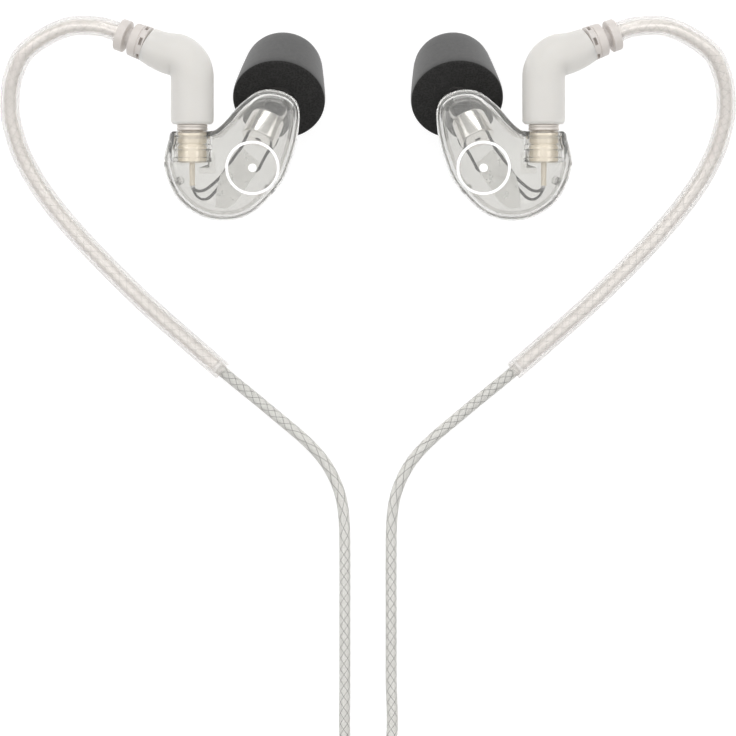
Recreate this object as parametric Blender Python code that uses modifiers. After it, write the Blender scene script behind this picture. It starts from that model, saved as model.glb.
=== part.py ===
# In-ear monitors: two earpieces with over-ear hooks on a Y cable that ends in
# a 3.5 mm plug.  Millimetres in the tables below, metres in the scene.
# The set lies on a table, faceplates up.  X runs across the pair, Y from the
# cable up to the hooks, Z up, and the table is z = 0.  The two sides are
# mirror images, so every side dimension is given once, with u = distance from
# the middle plane: X = -u on the left side and X = +u on the right side.
import bpy
import bmesh
import math
from mathutils import Vector, Matrix

MM = 0.001

# ---- driving dimensions (mm) ------------------------------------------------
AXIS_U = 26.36            # connector axis, distance from the middle plane
AXIS_Z = 17.5             # connector axis, height above the table
SHELL_WALL = 0.8
PART_Z = AXIS_Z + 1.5     # parting plane of the two shell halves
TOP_Z = AXIS_Z + 4.5
BOTTOM_Z = AXIS_Z - 5.4
SHELL_C = (20.3, 6.4)     # point that the crowned faces close towards

TIP_AT = (13.43, 14.81, 11.90)      # centre of the tip's rear face
TIP_N = (-0.08, 0.56, -0.825)     # nozzle axis, towards the ear canal (u, v, z)
TIP_LEN, TIP_R, TIP_FRONT_R = 12.0, 6.95, 4.7
CORE_R, CORE_BORE = 2.15, 1.6
NOZZLE_R, NOZZLE_BORE, NOZZLE_END = 1.45, 1.0, 8.0

SOCKET_TOP, BOSS_TOP = 9.75, 10.05
PLUG_SLEEVE_R, SOCKET_BORE = 1.15, 1.6

ELBOW_R, ARM_R, ELBOW_WALL = 3.22, 2.62, 1.1
ELBOW_LOW, ELBOW_CORNER, ELBOW_BEND = 11.1, 20.66, 3.5
ARM_DIR = (0.94, 0.345, -0.252)     # along the elbow's arm, outwards
ARM_START = 7.35                    # arm end, from the corner, along the arm

HOOK_R, HOOK_WALL, HOOK_CORE_R = 1.48, 0.28, 1.0
HOOK_TOUCH = 42.0                   # hook length over which it comes down
BRANCH_R = 0.85
MAIN_R = 1.15

COIL_C = (12.0, -112.0)
COIL_MEAN = 13.6

# ---- clean start ------------------------------------------------------------
for _ob in list(bpy.data.objects):
    bpy.data.objects.remove(_ob, do_unlink=True)

SCENE = bpy.context.scene
PARTS = bpy.data.collections.new("in_ear_monitors")
CUTTERS = bpy.data.collections.new("cutters")
SCENE.collection.children.link(PARTS)
SCENE.collection.children.link(CUTTERS)


# ---- helpers ----------------------------------------------------------------
def material(name, colour, rough, metal=0.0):
    m = bpy.data.materials.get(name) or bpy.data.materials.new(name)
    m.use_nodes = True
    b = m.node_tree.nodes["Principled BSDF"]
    b.inputs["Base Color"].default_value = (*colour, 1.0)
    b.inputs["Roughness"].default_value = rough
    b.inputs["Metallic"].default_value = metal
    m.diffuse_color = (*colour, 1.0)
    return m


def put(name, data, mat, coll=PARTS):
    ob = bpy.data.objects.new(name, data)
    coll.objects.link(ob)
    if mat is not None:
        data.materials.append(material(name, *mat))
    return ob


def spline_through(pts, closed=False, per=12):
    """Centripetal Catmull-Rom curve through pts, as a dense list."""
    P = [Vector(p) for p in pts]
    n = len(P)
    out = []
    last = n if closed else n - 1
    for i in range(last):
        if closed:
            a, b, c, d = P[i - 1], P[i], P[(i + 1) % n], P[(i + 2) % n]
        else:
            b, c = P[i], P[i + 1]
            a = P[i - 1] if i > 0 else b * 2 - c
            d = P[i + 2] if i + 2 < n else c * 2 - b
        t0 = 0.0
        t1 = t0 + max((b - a).length, 1e-9) ** 0.5
        t2 = t1 + max((c - b).length, 1e-9) ** 0.5
        t3 = t2 + max((d - c).length, 1e-9) ** 0.5
        for k in range(per):
            t = t1 + (t2 - t1) * k / per
            A1 = a * ((t1 - t) / (t1 - t0)) + b * ((t - t0) / (t1 - t0))
            A2 = b * ((t2 - t) / (t2 - t1)) + c * ((t - t1) / (t2 - t1))
            A3 = c * ((t3 - t) / (t3 - t2)) + d * ((t - t2) / (t3 - t2))
            B1 = A1 * ((t2 - t) / (t2 - t0)) + A2 * ((t - t0) / (t2 - t0))
            B2 = A2 * ((t3 - t) / (t3 - t1)) + A3 * ((t - t1) / (t3 - t1))
            out.append(B1 * ((t2 - t) / (t2 - t1)) + B2 * ((t - t1) / (t2 - t1)))
    if not closed:
        out.append(P[-1].copy())
    return out


def run_lengths(pts):
    s = [0.0]
    for a, b in zip(pts, pts[1:]):
        s.append(s[-1] + (b - a).length)
    return s


def even(pts, count):
    """count points at equal steps along the polyline pts."""
    s = run_lengths(pts)
    out, j = [], 0
    for k in range(count):
        t = s[-1] * k / (count - 1)
        while j < len(s) - 2 and s[j + 1] < t:
            j += 1
        f = (t - s[j]) / max(s[j + 1] - s[j], 1e-12)
        out.append(pts[j].lerp(pts[j + 1], min(max(f, 0.0), 1.0)))
    return out


def cut_ends(pts, head=0.0, tail=0.0):
    """The dense polyline without its first head and last tail millimetres."""
    s = run_lengths(pts)
    keep = [p for p, t in zip(pts, s) if head <= t <= s[-1] - tail]
    return keep


def tube(name, pts, radius, mat, res=2, radii=None, wall=0.0):
    """A round tube along pts (mm), with filled ends, or hollow with a wall."""
    cu = bpy.data.curves.new(name, 'CURVE')
    cu.dimensions = '3D'
    cu.twist_mode = 'MINIMUM'
    cu.bevel_depth = radius * MM
    cu.bevel_resolution = res
    cu.use_fill_caps = wall == 0.0
    sp = cu.splines.new('POLY')
    sp.points.add(len(pts) - 1)
    for i, p in enumerate(pts):
        sp.points[i].co = (p[0] * MM, p[1] * MM, p[2] * MM, 1.0)
        sp.points[i].radius = 1.0 if radii is None else radii[i] / radius
    ob = put(name, cu, mat)
    if wall:
        so = ob.modifiers.new("wall", 'SOLIDIFY')
        so.thickness = wall * MM
        so.offset = -1.0
    return ob


def turned(name, prof, at, along, mat, steps=16, coll=PARTS):
    """A turned piece: prof is (radius, height) down its outer side."""
    me = bpy.data.meshes.new(name)
    n = len(prof)
    edges = [(i, i + 1) for i in range(n - 1)]
    if prof[0][0] > 0.0:
        edges.append((n - 1, 0))
    me.from_pydata([(r * MM, 0.0, h * MM) for r, h in prof], edges, [])
    ob = put(name, me, mat, coll)
    sc = ob.modifiers.new("turn", 'SCREW')
    sc.axis = 'Z'
    sc.steps = steps
    sc.render_steps = steps
    sc.use_merge_vertices = True
    sc.merge_threshold = 0.000001
    sc.use_smooth_shade = True
    ob.rotation_mode = 'QUATERNION'
    ob.rotation_quaternion = Vector(along).to_track_quat('Z', 'Y')
    ob.location = Vector(at) * MM
    return ob


def block(name, size, at, mat, bevel=0.0, turn=0.0, seg=2, coll=PARTS):
    me = bpy.data.meshes.new(name)
    bm = bmesh.new()
    bmesh.ops.create_cube(bm, size=1.0)
    bmesh.ops.scale(bm, vec=Vector(size) * MM, verts=bm.verts)
    bm.to_mesh(me)
    bm.free()
    ob = put(name, me, mat, coll)
    ob.location = Vector(at) * MM
    ob.rotation_euler = (0.0, 0.0, turn)
    if bevel:
        bv = ob.modifiers.new("edge", 'BEVEL')
        bv.width = bevel * MM
        bv.segments = seg
    return ob


def as_cutter(ob):
    ob.hide_render = True
    ob.display_type = 'WIRE'
    return ob


def cut(ob, cutter, op='DIFFERENCE'):
    md = ob.modifiers.new(op.lower(), 'BOOLEAN')
    md.operation = op
    md.object = cutter
    return ob


def pivot(name, at, parent=None):
    e = bpy.data.objects.new(name, None)
    e.empty_display_size = 0.003
    e.location = Vector(at) * MM
    PARTS.objects.link(e)
    if parent is not None:
        attach(e, parent)
    return e


def attach(ob, parent):
    bpy.context.view_layer.update()
    ob.parent = parent
    ob.matrix_parent_inverse = parent.matrix_world.inverted()


# ---- colours ----------------------------------------------------------------
CLEAR = ((0.86, 0.87, 0.88), 0.08)
FROST = ((0.80, 0.79, 0.76), 0.45)
BEIGE = ((0.58, 0.54, 0.49), 0.5)
PEARL = ((0.66, 0.63, 0.59), 0.3)
FOAM = ((0.035, 0.034, 0.033), 0.95)
RUBBER = ((0.05, 0.05, 0.05), 0.6)
GOLD = ((0.83, 0.69, 0.42), 0.25, 1.0)
STEEL = ((0.75, 0.75, 0.76), 0.2, 1.0)
DARK = ((0.10, 0.10, 0.11), 0.4)
COPPER = ((0.75, 0.42, 0.28), 0.35, 1.0)
FILM = ((0.72, 0.70, 0.62), 0.25)
CORD = ((0.70, 0.69, 0.66), 0.3)


# ---- the shell outline ------------------------------------------------------
# (u, v) of one side seen from above: down the connector side from the boss,
# round the lower edge, up the tip side, over the lobe that holds the nozzle
# and back down the diagonal to the boss.
OUTLINE = [
    (29.70, 10.05), (29.90, 8.65), (30.45, 6.85), (30.68, 5.50), (30.40, 4.00),
    (29.85, 2.20), (29.00, 0.55), (27.95, -0.80), (26.20, -2.15),
    (24.20, -3.05), (21.80, -3.40), (19.10, -3.05), (17.00, -2.00),
    (15.20, -0.35), (13.60, 1.45), (12.45, 3.25), (11.60, 5.50),
    (10.90, 7.75), (10.35, 10.45), (10.20, 12.85), (10.65, 14.50),
    (11.80, 15.55), (13.55, 16.20), (15.40, 16.30), (16.90, 15.85),
    (18.40, 14.75), (19.80, 13.45), (21.20, 11.80), (22.20, 10.80),
    (23.10, 10.05)]


def shell_surface(name, s, levels, mat):
    """An open, crowned cup: rings of the outline at (height, scale) levels."""
    ring = even(spline_through([(u, v, 0.0) for u, v in OUTLINE], per=6), 40)
    me = bpy.data.meshes.new(name)
    bm = bmesh.new()
    rows = []
    for z, k in levels:
        rows.append([bm.verts.new(((SHELL_C[0] + (p.x - SHELL_C[0]) * k) * s * MM,
                                   (SHELL_C[1] + (p.y - SHELL_C[1]) * k) * MM,
                                   z * MM)) for p in ring])
    n = len(ring)
    for a, b in zip(rows, rows[1:]):
        for i in range(n):
            j = (i + 1) % n
            bm.faces.new((a[i], a[j], b[j], b[i]))
    bm.faces.new(rows[-1])
    bmesh.ops.recalc_face_normals(bm, faces=bm.faces)
    # an open cup: the cap's outward side decides which way the walls face
    cap = max(bm.faces, key=lambda f: len(f.verts))
    away = 1.0 if levels[-1][0] > levels[0][0] else -1.0
    cap.normal_update()
    if cap.normal.z * away < 0.0:
        bmesh.ops.reverse_faces(bm, faces=bm.faces)
    bmesh.ops.triangulate(bm, faces=[cap])
    bm.to_mesh(me)
    bm.free()
    me.shade_smooth()
    ob = put(name, me, mat)
    so = ob.modifiers.new("wall", 'SOLIDIFY')
    so.thickness = SHELL_WALL * MM
    so.offset = -1.0
    so.use_even_offset = True
    return ob


def hook_route():
    """(u, v, z) along the hook tube, from the strain relief to its tail."""
    flat = [
        (37.60, 25.05), (39.98, 25.78), (42.50, 26.01), (44.74, 25.90),
        (47.00, 25.17), (49.02, 24.11), (50.72, 22.95), (52.15, 21.52),
        (53.12, 19.55), (53.75, 17.50), (54.02, 14.95), (53.96, 12.50),
        (53.53, 10.50), (52.69, 7.65), (51.34, 4.78), (49.86, 2.22),
        (47.26, -1.38), (44.20, -4.97), (39.98, -9.48), (33.88, -15.47),
        (27.12, -21.47), (21.62, -26.25)]
    dense = spline_through([(u, v, 0.0) for u, v in flat], per=8)
    s = run_lengths(dense)
    z0 = AXIS_Z + ARM_DIR[2] / ARM_DIR[0] * (flat[0][0] - AXIS_U)
    slope = ARM_DIR[2] / math.hypot(ARM_DIR[0], ARM_DIR[1])
    low = HOOK_R + 0.02
    for p, t in zip(dense, s):
        f = min(t / HOOK_TOUCH, 1.0)
        h00, h10, h01 = 2 * f**3 - 3 * f**2 + 1, f**3 - 2 * f**2 + f, 3 * f**2 - 2 * f**3
        p.z = z0 * h00 + slope * HOOK_TOUCH * h10 + low * h01
    return dense


def branch_route():
    """(u, v, z) of a branch cable, from the hook's tail down the straight run."""
    pts = [
        (21.38, -26.50, 1.30), (20.15, -27.52, 1.10), (16.55, -30.45, 0.88),
        (12.98, -33.42, 0.87), (9.50, -36.38, 0.87), (6.76, -39.36, 0.87),
        (5.03, -42.33, 0.87), (4.00, -45.40, 0.87), (3.58, -49.00, 0.87),
        (3.50, -54.00, 0.87), (3.50, -62.00, 0.87), (3.50, -72.00, 0.87),
        (3.50, -82.00, 0.87)]
    return pts


# ---- one side ---------------------------------------------------------------
def side(tag, s, cable_set):
    def w(u, v, z):
        return Vector((s * u, v, z))

    def d(u, v, z):
        return Vector((s * u, v, z)).normalized()

    n = d(*TIP_N)
    tip0 = w(*TIP_AT)

    swivel = pivot("swivel_" + tag, w(AXIS_U, 8.2, AXIS_Z), cable_set)
    earpiece = pivot("earpiece_" + tag, w(AXIS_U, 5.0, AXIS_Z), swivel)
    ear_tip = pivot("ear_tip_" + tag, tip0, earpiece)

    # shells: the faceplate half and the half with the nozzle
    outer = shell_surface("outer_shell_" + tag, s, [
        (PART_Z, 1.0), (PART_Z + 1.3, 0.985), (PART_Z + 2.2, 0.94),
        (PART_Z + 2.75, 0.86), (TOP_Z, 0.70)], CLEAR)
    inner = shell_surface("inner_shell_" + tag, s, [
        (PART_Z - 0.3, 1.0), (AXIS_Z - 1.0, 0.995), (AXIS_Z - 3.0, 0.955),
        (AXIS_Z - 4.5, 0.86), (BOTTOM_Z, 0.70)], CLEAR)
    up = Vector((0.0, 1.0, 0.0))
    bore = as_cutter(turned("cut_socket_" + tag,
                            [(0.0, 4.0), (2.45, 4.0), (2.45, -2.2), (0.0, -2.2)],
                            w(AXIS_U, 8.2, AXIS_Z), up, None, 20, CUTTERS))
    throat = as_cutter(turned("cut_nozzle_" + tag,
                              [(0.0, 12.0), (NOZZLE_BORE, 12.0),
                               (NOZZLE_BORE, -3.2), (0.0, -3.2)],
                              tip0, n, None, 16, CUTTERS))
    stem = as_cutter(turned("add_nozzle_" + tag,
                            [(0.0, NOZZLE_END), (NOZZLE_R, NOZZLE_END),
                             (NOZZLE_R, 0.2), (NOZZLE_R + 0.5, -0.35),
                             (NOZZLE_R + 0.5, -1.9), (0.0, -1.9)],
                            tip0, n, None, 16, CUTTERS))
    cut(outer, bore)
    cut(inner, stem, 'UNION')
    cut(inner, throat)
    cut(inner, bore)

    mesh = turned("nozzle_mesh_" + tag,
                  [(0.0, 0.1), (NOZZLE_BORE - 0.08, 0.1),
                   (NOZZLE_BORE - 0.08, -0.1), (0.0, -0.1)],
                  tip0 + n * 7.6, n, STEEL, 12)

    # micro driver
    a = d(-0.38, 0.84, -0.39)
    can_c = w(15.75, 10.45, AXIS_Z - 0.9)
    can = turned("driver_can_" + tag,
                 [(1.95, 1.95), (2.4, 1.95), (2.45, 1.85), (2.45, -1.95),
                  (0.0001, -1.95), (0.0001, -1.65), (2.15, -1.65), (2.15, 1.65),
                  (1.95, 1.65)][0:4] +
                 [(0.45, -1.95), (0.45, -1.65), (2.15, -1.65), (2.15, 1.65),
                  (1.95, 1.65)], can_c, a, STEEL, 20)
    magnet = turned("driver_magnet_" + tag,
                    [(0.0, 0.2), (1.7, 0.2), (1.7, -1.35), (0.0, -1.35)],
                    can_c, a, DARK, 14)
    coil = turned("voice_coil_" + tag,
                  [(1.05, 0.95), (1.3, 0.95), (1.3, 0.4), (1.05, 0.4)],
                  can_c, a, COPPER, 14)
    film = turned("driver_diaphragm_" + tag,
                  [(0.0, 1.5), (1.2, 1.5), (1.6, 1.3), (2.0, 1.35), (2.0, 1.15),
                   (1.6, 1.1), (1.2, 1.25), (0.0, 1.25)], can_c, a, FILM, 16)
    holder = block("driver_holder_" + tag, (7.0, 6.0, 1.0),
                   w(18.6, 4.6, AXIS_Z + 1.6), CLEAR, 0.4, s * 0.35, 1)

    # socket and its contact
    sock_at = w(AXIS_U, SOCKET_TOP, AXIS_Z)
    socket = turned("mmcx_socket_" + tag, [
        (SOCKET_BORE, 0.0), (2.15, 0.0), (2.15, -4.3), (2.0, -4.45),
        (0.75, -4.45), (0.75, -3.9), (SOCKET_BORE, -3.9)],
        sock_at, up, GOLD, 20)
    contact = turned("mmcx_contact_" + tag, [
        (0.0, -3.0), (0.3, -3.0), (0.3, -4.0), (0.42, -4.75), (0.42, -7.9),
        (0.0, -7.9)], sock_at, up, GOLD, 12)

    wa = even(spline_through([w(26.25, 1.25, AXIS_Z + 0.2), w(25.5, 1.0, AXIS_Z + 0.2),
                              w(24.6, 1.2, AXIS_Z + 0.1), w(23.5, 1.9, AXIS_Z + 0.1),
                              w(22.1, 3.25, AXIS_Z), w(20.9, 5.0, AXIS_Z - 0.3),
                              w(19.6, 7.4, AXIS_Z - 0.6), w(18.9, 8.6, AXIS_Z - 0.6)],
                             per=5), 18)
    wb = even(spline_through([w(26.35, 1.25, AXIS_Z - 0.45), w(25.7, 0.2, AXIS_Z - 0.6),
                              w(24.9, -0.2, AXIS_Z - 0.6), w(24.0, 0.0, AXIS_Z - 0.7),
                              w(22.9, 1.1, AXIS_Z - 0.8), w(21.5, 2.6, AXIS_Z - 0.9),
                              w(18.6, 3.6, AXIS_Z - 1.0), w(16.3, 4.4, AXIS_Z - 1.0),
                              w(15.0, 6.6, AXIS_Z - 1.0), w(14.3, 7.8, AXIS_Z - 1.0)],
                             per=5), 20)
    wire_a = tube("wire_a_" + tag, wa, 0.18, DARK, 0)
    wire_b = tube("wire_b_" + tag, wb, 0.18, DARK, 0)

    # foam tip and its core tube
    foam = turned("foam_tip_" + tag, [
        (2.35, 12.0), (3.4, 12.0), (4.45, 11.5), (5.35, 10.6), (5.85, 9.0),
        (6.5, 4.5), (6.9, 1.5), (TIP_R, 0.35), (6.7, 0.0), (2.35, 0.0)],
        tip0, n, FOAM, 24)
    core = turned("tip_core_" + tag, [
        (CORE_BORE, 11.0), (CORE_R, 11.0), (CORE_R, 0.5), (CORE_BORE, 0.5)],
        tip0, n, RUBBER, 16)

    # cable side of the connector
    plug = turned("mmcx_plug_" + tag, [
        (0.55, 3.6), (1.75, 3.6), (1.75, 0.35), (2.3, 0.25), (2.3, -0.6),
        (PLUG_SLEEVE_R, -0.7), (PLUG_SLEEVE_R, -2.15), (1.0, -2.2),
        (1.0, -2.75), (PLUG_SLEEVE_R, -2.8), (PLUG_SLEEVE_R, -3.9),
        (0.55, -3.9)], w(AXIS_U, 10.75, AXIS_Z), up, GOLD, 16)
    pin = turned("mmcx_pin_" + tag, [
        (0.0, 3.4), (0.3, 3.4), (0.3, -2.9), (0.15, -3.3), (0.0, -3.3)],
        w(AXIS_U, 10.75, AXIS_Z), up, GOLD, 10)
    ring_pts = []
    for k in range(15):
        t = math.radians(15 + 330 * k / 14)
        ring_pts.append(w(AXIS_U, 8.28, AXIS_Z) +
                        Vector((1.3 * math.cos(t), 0.0, 1.3 * math.sin(t))))
    ring = tube("snap_ring_" + tag, ring_pts, 0.13, STEEL, 0)

    # elbow: barrel on the connector axis, a bend, and the arm
    arm = d(*ARM_DIR)
    corner = w(AXIS_U, ELBOW_CORNER, AXIS_Z)
    turn_angle = math.acos(max(-1.0, min(1.0, arm.y)))
    tl = ELBOW_BEND * math.tan(turn_angle / 2)
    p0 = corner - up * tl
    side_dir = (arm - up * arm.y).normalized()
    centre = p0 + side_dir * ELBOW_BEND
    line, rad = [], []
    for v, r in ((ELBOW_LOW, ELBOW_R - 0.35), (ELBOW_LOW + 0.4, ELBOW_R),
                 (14.0, ELBOW_R), (p0.y, ELBOW_R)):
        line.append(w(AXIS_U, v, AXIS_Z))
        rad.append(r)
    for k in range(1, 6):
        t = turn_angle * k / 5
        line.append(centre - side_dir * (ELBOW_BEND * math.cos(t)) +
                    up * (ELBOW_BEND * math.sin(t)))
        rad.append(ELBOW_R)
    line.append(corner + arm * 5.2)
    rad.append(3.1)
    line.append(corner + arm * ARM_START)
    rad.append(ARM_R)
    elbow = tube("elbow_housing_" + tag, line, ELBOW_R, FROST, 2, rad, ELBOW_WALL)

    # strain relief: ribbed collar between the arm and the hook tube
    relief = turned("strain_relief_" + tag, [
        (1.05, 4.8), (2.2, 4.8), (2.42, 4.65), (2.44, 3.5), (2.36, 3.42),
        (1.36, 3.38), (1.36, 2.5), (2.44, 2.46), (2.52, 2.38), (2.58, 1.2),
        (2.44, 1.14), (2.46, 0.3), (2.6, 0.24), (1.35, 0.22), (1.35, -2.6),
        (1.05, -2.6)],
        corner + arm * ARM_START, arm, BEIGE, 16)

    dense = [w(*p) for p in hook_route()]
    body = even(cut_ends(dense, 0.35), 34)
    hook = tube("ear_hook_tube_" + tag, body, HOOK_R, PEARL, 2, None, HOOK_WALL)
    core_line = [corner + arm * (ARM_START + 5.2)] + cut_ends(dense, 1.6, 0.1)
    hook_core = tube("hook_core_" + tag, even(core_line, 30), HOOK_CORE_R, CORD, 0)

    for ob in (plug, pin, elbow, relief, hook, hook_core):
        attach(ob, cable_set)
    attach(ring, swivel)
    for ob in (outer, inner, mesh, can, magnet, coil, film, holder, socket,
               contact, wire_a, wire_b, bore, throat, stem):
        attach(ob, earpiece)
    for ob in (foam, core):
        attach(ob, ear_tip)


# ---- cable below the hooks --------------------------------------------------
def on_coil(r, deg, z):
    t = math.radians(deg)
    return Vector((COIL_C[0] + r * math.cos(t), COIL_C[1] + r * math.sin(t), z))


def cables(cable_set):
    cx, cy = COIL_C
    made = []
    # branches, hook tail to coil: they close up and enter side by side
    for tag, s, r in (("left", -1, 14.45), ("right", 1, 12.75)):
        pts = [Vector((s * u, v, z)) for u, v, z in branch_route()]
        x_in = cx - r
        pts += [Vector((s * 3.5 * 0.55 + x_in * 0.45, -89.0, 0.9)),
                Vector((x_in + s * 0.2, -95.0, 1.3))]
        if tag == "left":
            pts.append(Vector((x_in - 0.15, -97.2, 1.45)))
        dense = spline_through(pts, per=8)
        made.append(tube("cable_" + tag, even(cut_ends(dense, 0.35), 34),
                         BRANCH_R, CORD, 2))
    # the wound length
    made.append(turned("cord_coil", [
        (9.0, 8.9), (18.2, 8.9), (18.2, 2.75), (15.5, 2.55), (15.5, 0.95),
        (11.7, 0.95), (11.7, 4.3), (9.0, 4.5)],
        (cx, cy, 0.0), (0.0, 0.0, 1.0), CORD, 28))
    # pair from the coil through the slider to the splitter
    for tag, y0, y1, x0 in (("pair_outer", -129.85, -130.1, 19.5),
                            ("pair_inner", -128.15, -127.95, 22.4)):
        pts = [Vector((x0 - 3, y0, 3.5)), Vector((x0, y0 + (y1 - y0) * 0.4, 3.2)),
               Vector((x0 + 3.5 if x0 < 20 else x0 + 2.0, y1, 2.6)),
               Vector((28.0, y1, 2.2)), Vector((35.0, y1, 2.2)),
               Vector((42.0, y1, 2.2))]
        dense = spline_through(pts, per=8)
        made.append(tube("cable_" + tag, even(cut_ends(dense, 3.0, 0.3), 14),
                         BRANCH_R, CORD, 2))
    mid = -129.02
    splitter = block("y_splitter", (11.0, 6.6, 4.2), (47.5, mid, 2.2), FROST, 1.2)
    slider = block("chin_slider", (6.0, 6.4, 4.0), (29.0, mid, 2.2), FROST, 0.9)
    for k, y in enumerate((-130.1, -127.95)):
        c = as_cutter(turned("cut_slider_%d" % k,
                             [(0.0, 6.0), (1.06, 6.0), (1.06, -6.0), (0.0, -6.0)],
                             (29.0, y, 2.2), (1.0, 0.0, 0.0), None, 12, CUTTERS))
        cut(slider, c)
        attach(c, slider)
    # main cable: out of the splitter, a half turn, back to the coil
    pts = [Vector((53.3, mid, 2.2)), Vector((56.5, mid + 0.1, 1.7))]
    for k in range(9):
        t = math.radians(-78 + 156 * k / 8)
        pts.append(Vector((57.0 + 17.0 * math.cos(t), cy + 17.04 * math.sin(t), 1.22)))
    pts += [Vector((52.0, cy + 17.05, 1.3)), Vector((42.0, cy + 17.05, 1.9)),
            Vector((32.0, cy + 17.05, 3.9)), Vector((26.0, cy + 17.05, 4.9)),
            Vector((21.5, cy + 17.1, 5.4))]
    made.append(tube("cable_main", even(spline_through(pts, per=6), 30),
                     MAIN_R, CORD, 2))
    # plug lead: off the top of the coil, out to the plug beside it
    pts = [Vector((cx - 17.4, cy - 8.6, 7.3)), Vector((-6.3, -124.0, 6.6)),
           Vector((-9.2, -127.4, 5.4)), Vector((-13.2, -129.2, 4.2)),
           Vector((-17.6, -129.6, 3.5)), Vector((-21.0, -129.6, 3.4))]
    made.append(tube("cable_plug_lead", even(spline_through(pts, per=6), 10),
                     MAIN_R, CORD, 2))
    # 3.5 mm plug, lying beside the coil, pointing in -X
    at, back = (-49.0, -129.6, 3.4), (1.0, 0.0, 0.0)
    relief = turned("jack_relief", [
        (0.0, 27.6), (1.5, 27.6), (1.6, 27.4), (2.4, 18.35), (0.0, 18.35)],
        at, back, RUBBER, 14)
    housing = turned("jack_housing", [
        (1.3, 18.0), (2.9, 18.0), (3.25, 17.5), (3.25, 0.8), (2.75, 0.0),
        (1.88, 0.0), (1.88, 0.5), (1.3, 0.5)], at, back, STEEL, 18)
    insulator = turned("jack_insulator", [
        (0.0, -2.0), (0.8, -2.0), (0.8, -8.6), (1.75, -8.6), (1.75, -9.1),
        (0.8, -9.1), (0.8, -10.3), (1.75, -10.3), (1.75, -10.8), (0.0, -10.8)],
        at, back, DARK, 14)
    sleeve = turned("jack_sleeve", [
        (1.0, 9.0), (1.12, 9.0), (1.12, -0.3), (1.75, -0.35), (1.75, -8.4),
        (1.0, -8.4)], at, back, GOLD, 18)
    ring = turned("jack_ring", [
        (1.0, -9.3), (1.75, -9.3), (1.75, -10.1), (1.0, -10.1)],
        at, back, GOLD, 18)
    tip = turned("jack_tip", [
        (0.0, -11.0), (1.75, -11.0), (1.35, -11.9), (1.72, -12.7),
        (1.2, -13.8), (0.0, -14.3)], at, back, GOLD, 18)
    # tie round the bundle
    tie = block("cable_tie", (11.6, 4.0, 9.9), (25.5, cy, 5.0), RUBBER, 0.5, 0.0, 1)
    hole = as_cutter(block("cut_tie", (10.4, 8.0, 8.6), (25.5, cy, 4.98), None,
                           0.0, 0.0, 1, CUTTERS))
    cut(tie, hole)
    slide = pivot("chin_slide", (29.0, mid, 2.2), cable_set)
    attach(slider, slide)
    for ob in made + [splitter, relief, housing, insulator, sleeve, ring, tip,
                      tie, hole]:
        attach(ob, cable_set)


root = pivot("cable_set", (0.0, 0.0, 0.0))
side("left", -1.0, root)
side("right", 1.0, root)
cables(root)
bpy.context.view_layer.update()
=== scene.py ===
import bpy
import bmesh
import math
from mathutils import Vector, Matrix, noise
from mathutils.bvhtree import BVHTree


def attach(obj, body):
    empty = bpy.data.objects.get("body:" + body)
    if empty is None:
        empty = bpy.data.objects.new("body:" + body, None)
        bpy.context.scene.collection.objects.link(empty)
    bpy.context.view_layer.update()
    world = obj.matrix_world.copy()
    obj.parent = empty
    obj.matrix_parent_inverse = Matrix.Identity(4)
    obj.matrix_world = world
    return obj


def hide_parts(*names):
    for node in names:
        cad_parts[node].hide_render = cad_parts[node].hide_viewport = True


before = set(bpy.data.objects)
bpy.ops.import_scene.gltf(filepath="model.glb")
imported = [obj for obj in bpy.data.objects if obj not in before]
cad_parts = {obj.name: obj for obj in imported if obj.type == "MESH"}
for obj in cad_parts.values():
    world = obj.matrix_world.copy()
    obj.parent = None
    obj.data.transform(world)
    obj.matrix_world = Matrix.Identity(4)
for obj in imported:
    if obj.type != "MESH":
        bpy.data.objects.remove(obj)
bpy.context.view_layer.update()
MM = 0.001
UP = Vector((0.0, 1.0, 0.0))

# ---- the sizes and places of the CAD model (mm) -----------------------------
AXIS_U, AXIS_Z = 26.36, 17.5
PART_Z, TOP_Z, BOTTOM_Z = AXIS_Z + 1.5, AXIS_Z + 4.5, AXIS_Z - 5.4
SHELL_C = (20.3, 6.4)
TIP_AT = (13.43, 14.81, 11.90)
TIP_N = (-0.08, 0.56, -0.825)
ELBOW_R, ARM_R = 3.22, 2.62
ELBOW_LOW, ELBOW_CORNER, ELBOW_BEND = 11.1, 20.66, 3.5
ARM_DIR = (0.94, 0.345, -0.252)
ARM_START = 7.35
HOOK_R, HOOK_TOUCH = 1.48, 42.0
BRANCH_R, MAIN_R = 0.85, 1.15
CX, CY = 12.0, -112.0
OUTLINE = [
    (29.70, 10.05), (29.90, 8.65), (30.45, 6.85), (30.68, 5.50), (30.40, 4.00),
    (29.85, 2.20), (29.00, 0.55), (27.95, -0.80), (26.20, -2.15),
    (24.20, -3.05), (21.80, -3.40), (19.10, -3.05), (17.00, -2.00),
    (15.20, -0.35), (13.60, 1.45), (12.45, 3.25), (11.60, 5.50),
    (10.90, 7.75), (10.35, 10.45), (10.20, 12.85), (10.65, 14.50),
    (11.80, 15.55), (13.55, 16.20), (15.40, 16.30), (16.90, 15.85),
    (18.40, 14.75), (19.80, 13.45), (21.20, 11.80), (22.20, 10.80),
    (23.10, 10.05)]
HOOK_LINE = [
    (37.60, 25.05), (39.98, 25.78), (42.50, 26.01), (44.74, 25.90),
    (47.00, 25.17), (49.02, 24.11), (50.72, 22.95), (52.15, 21.52),
    (53.12, 19.55), (53.75, 17.50), (54.02, 14.95), (53.96, 12.50),
    (53.53, 10.50), (52.69, 7.65), (51.34, 4.78), (49.86, 2.22),
    (47.26, -1.38), (44.20, -4.97), (39.98, -9.48), (33.88, -15.47),
    (27.12, -21.47), (21.62, -26.25)]
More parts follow.
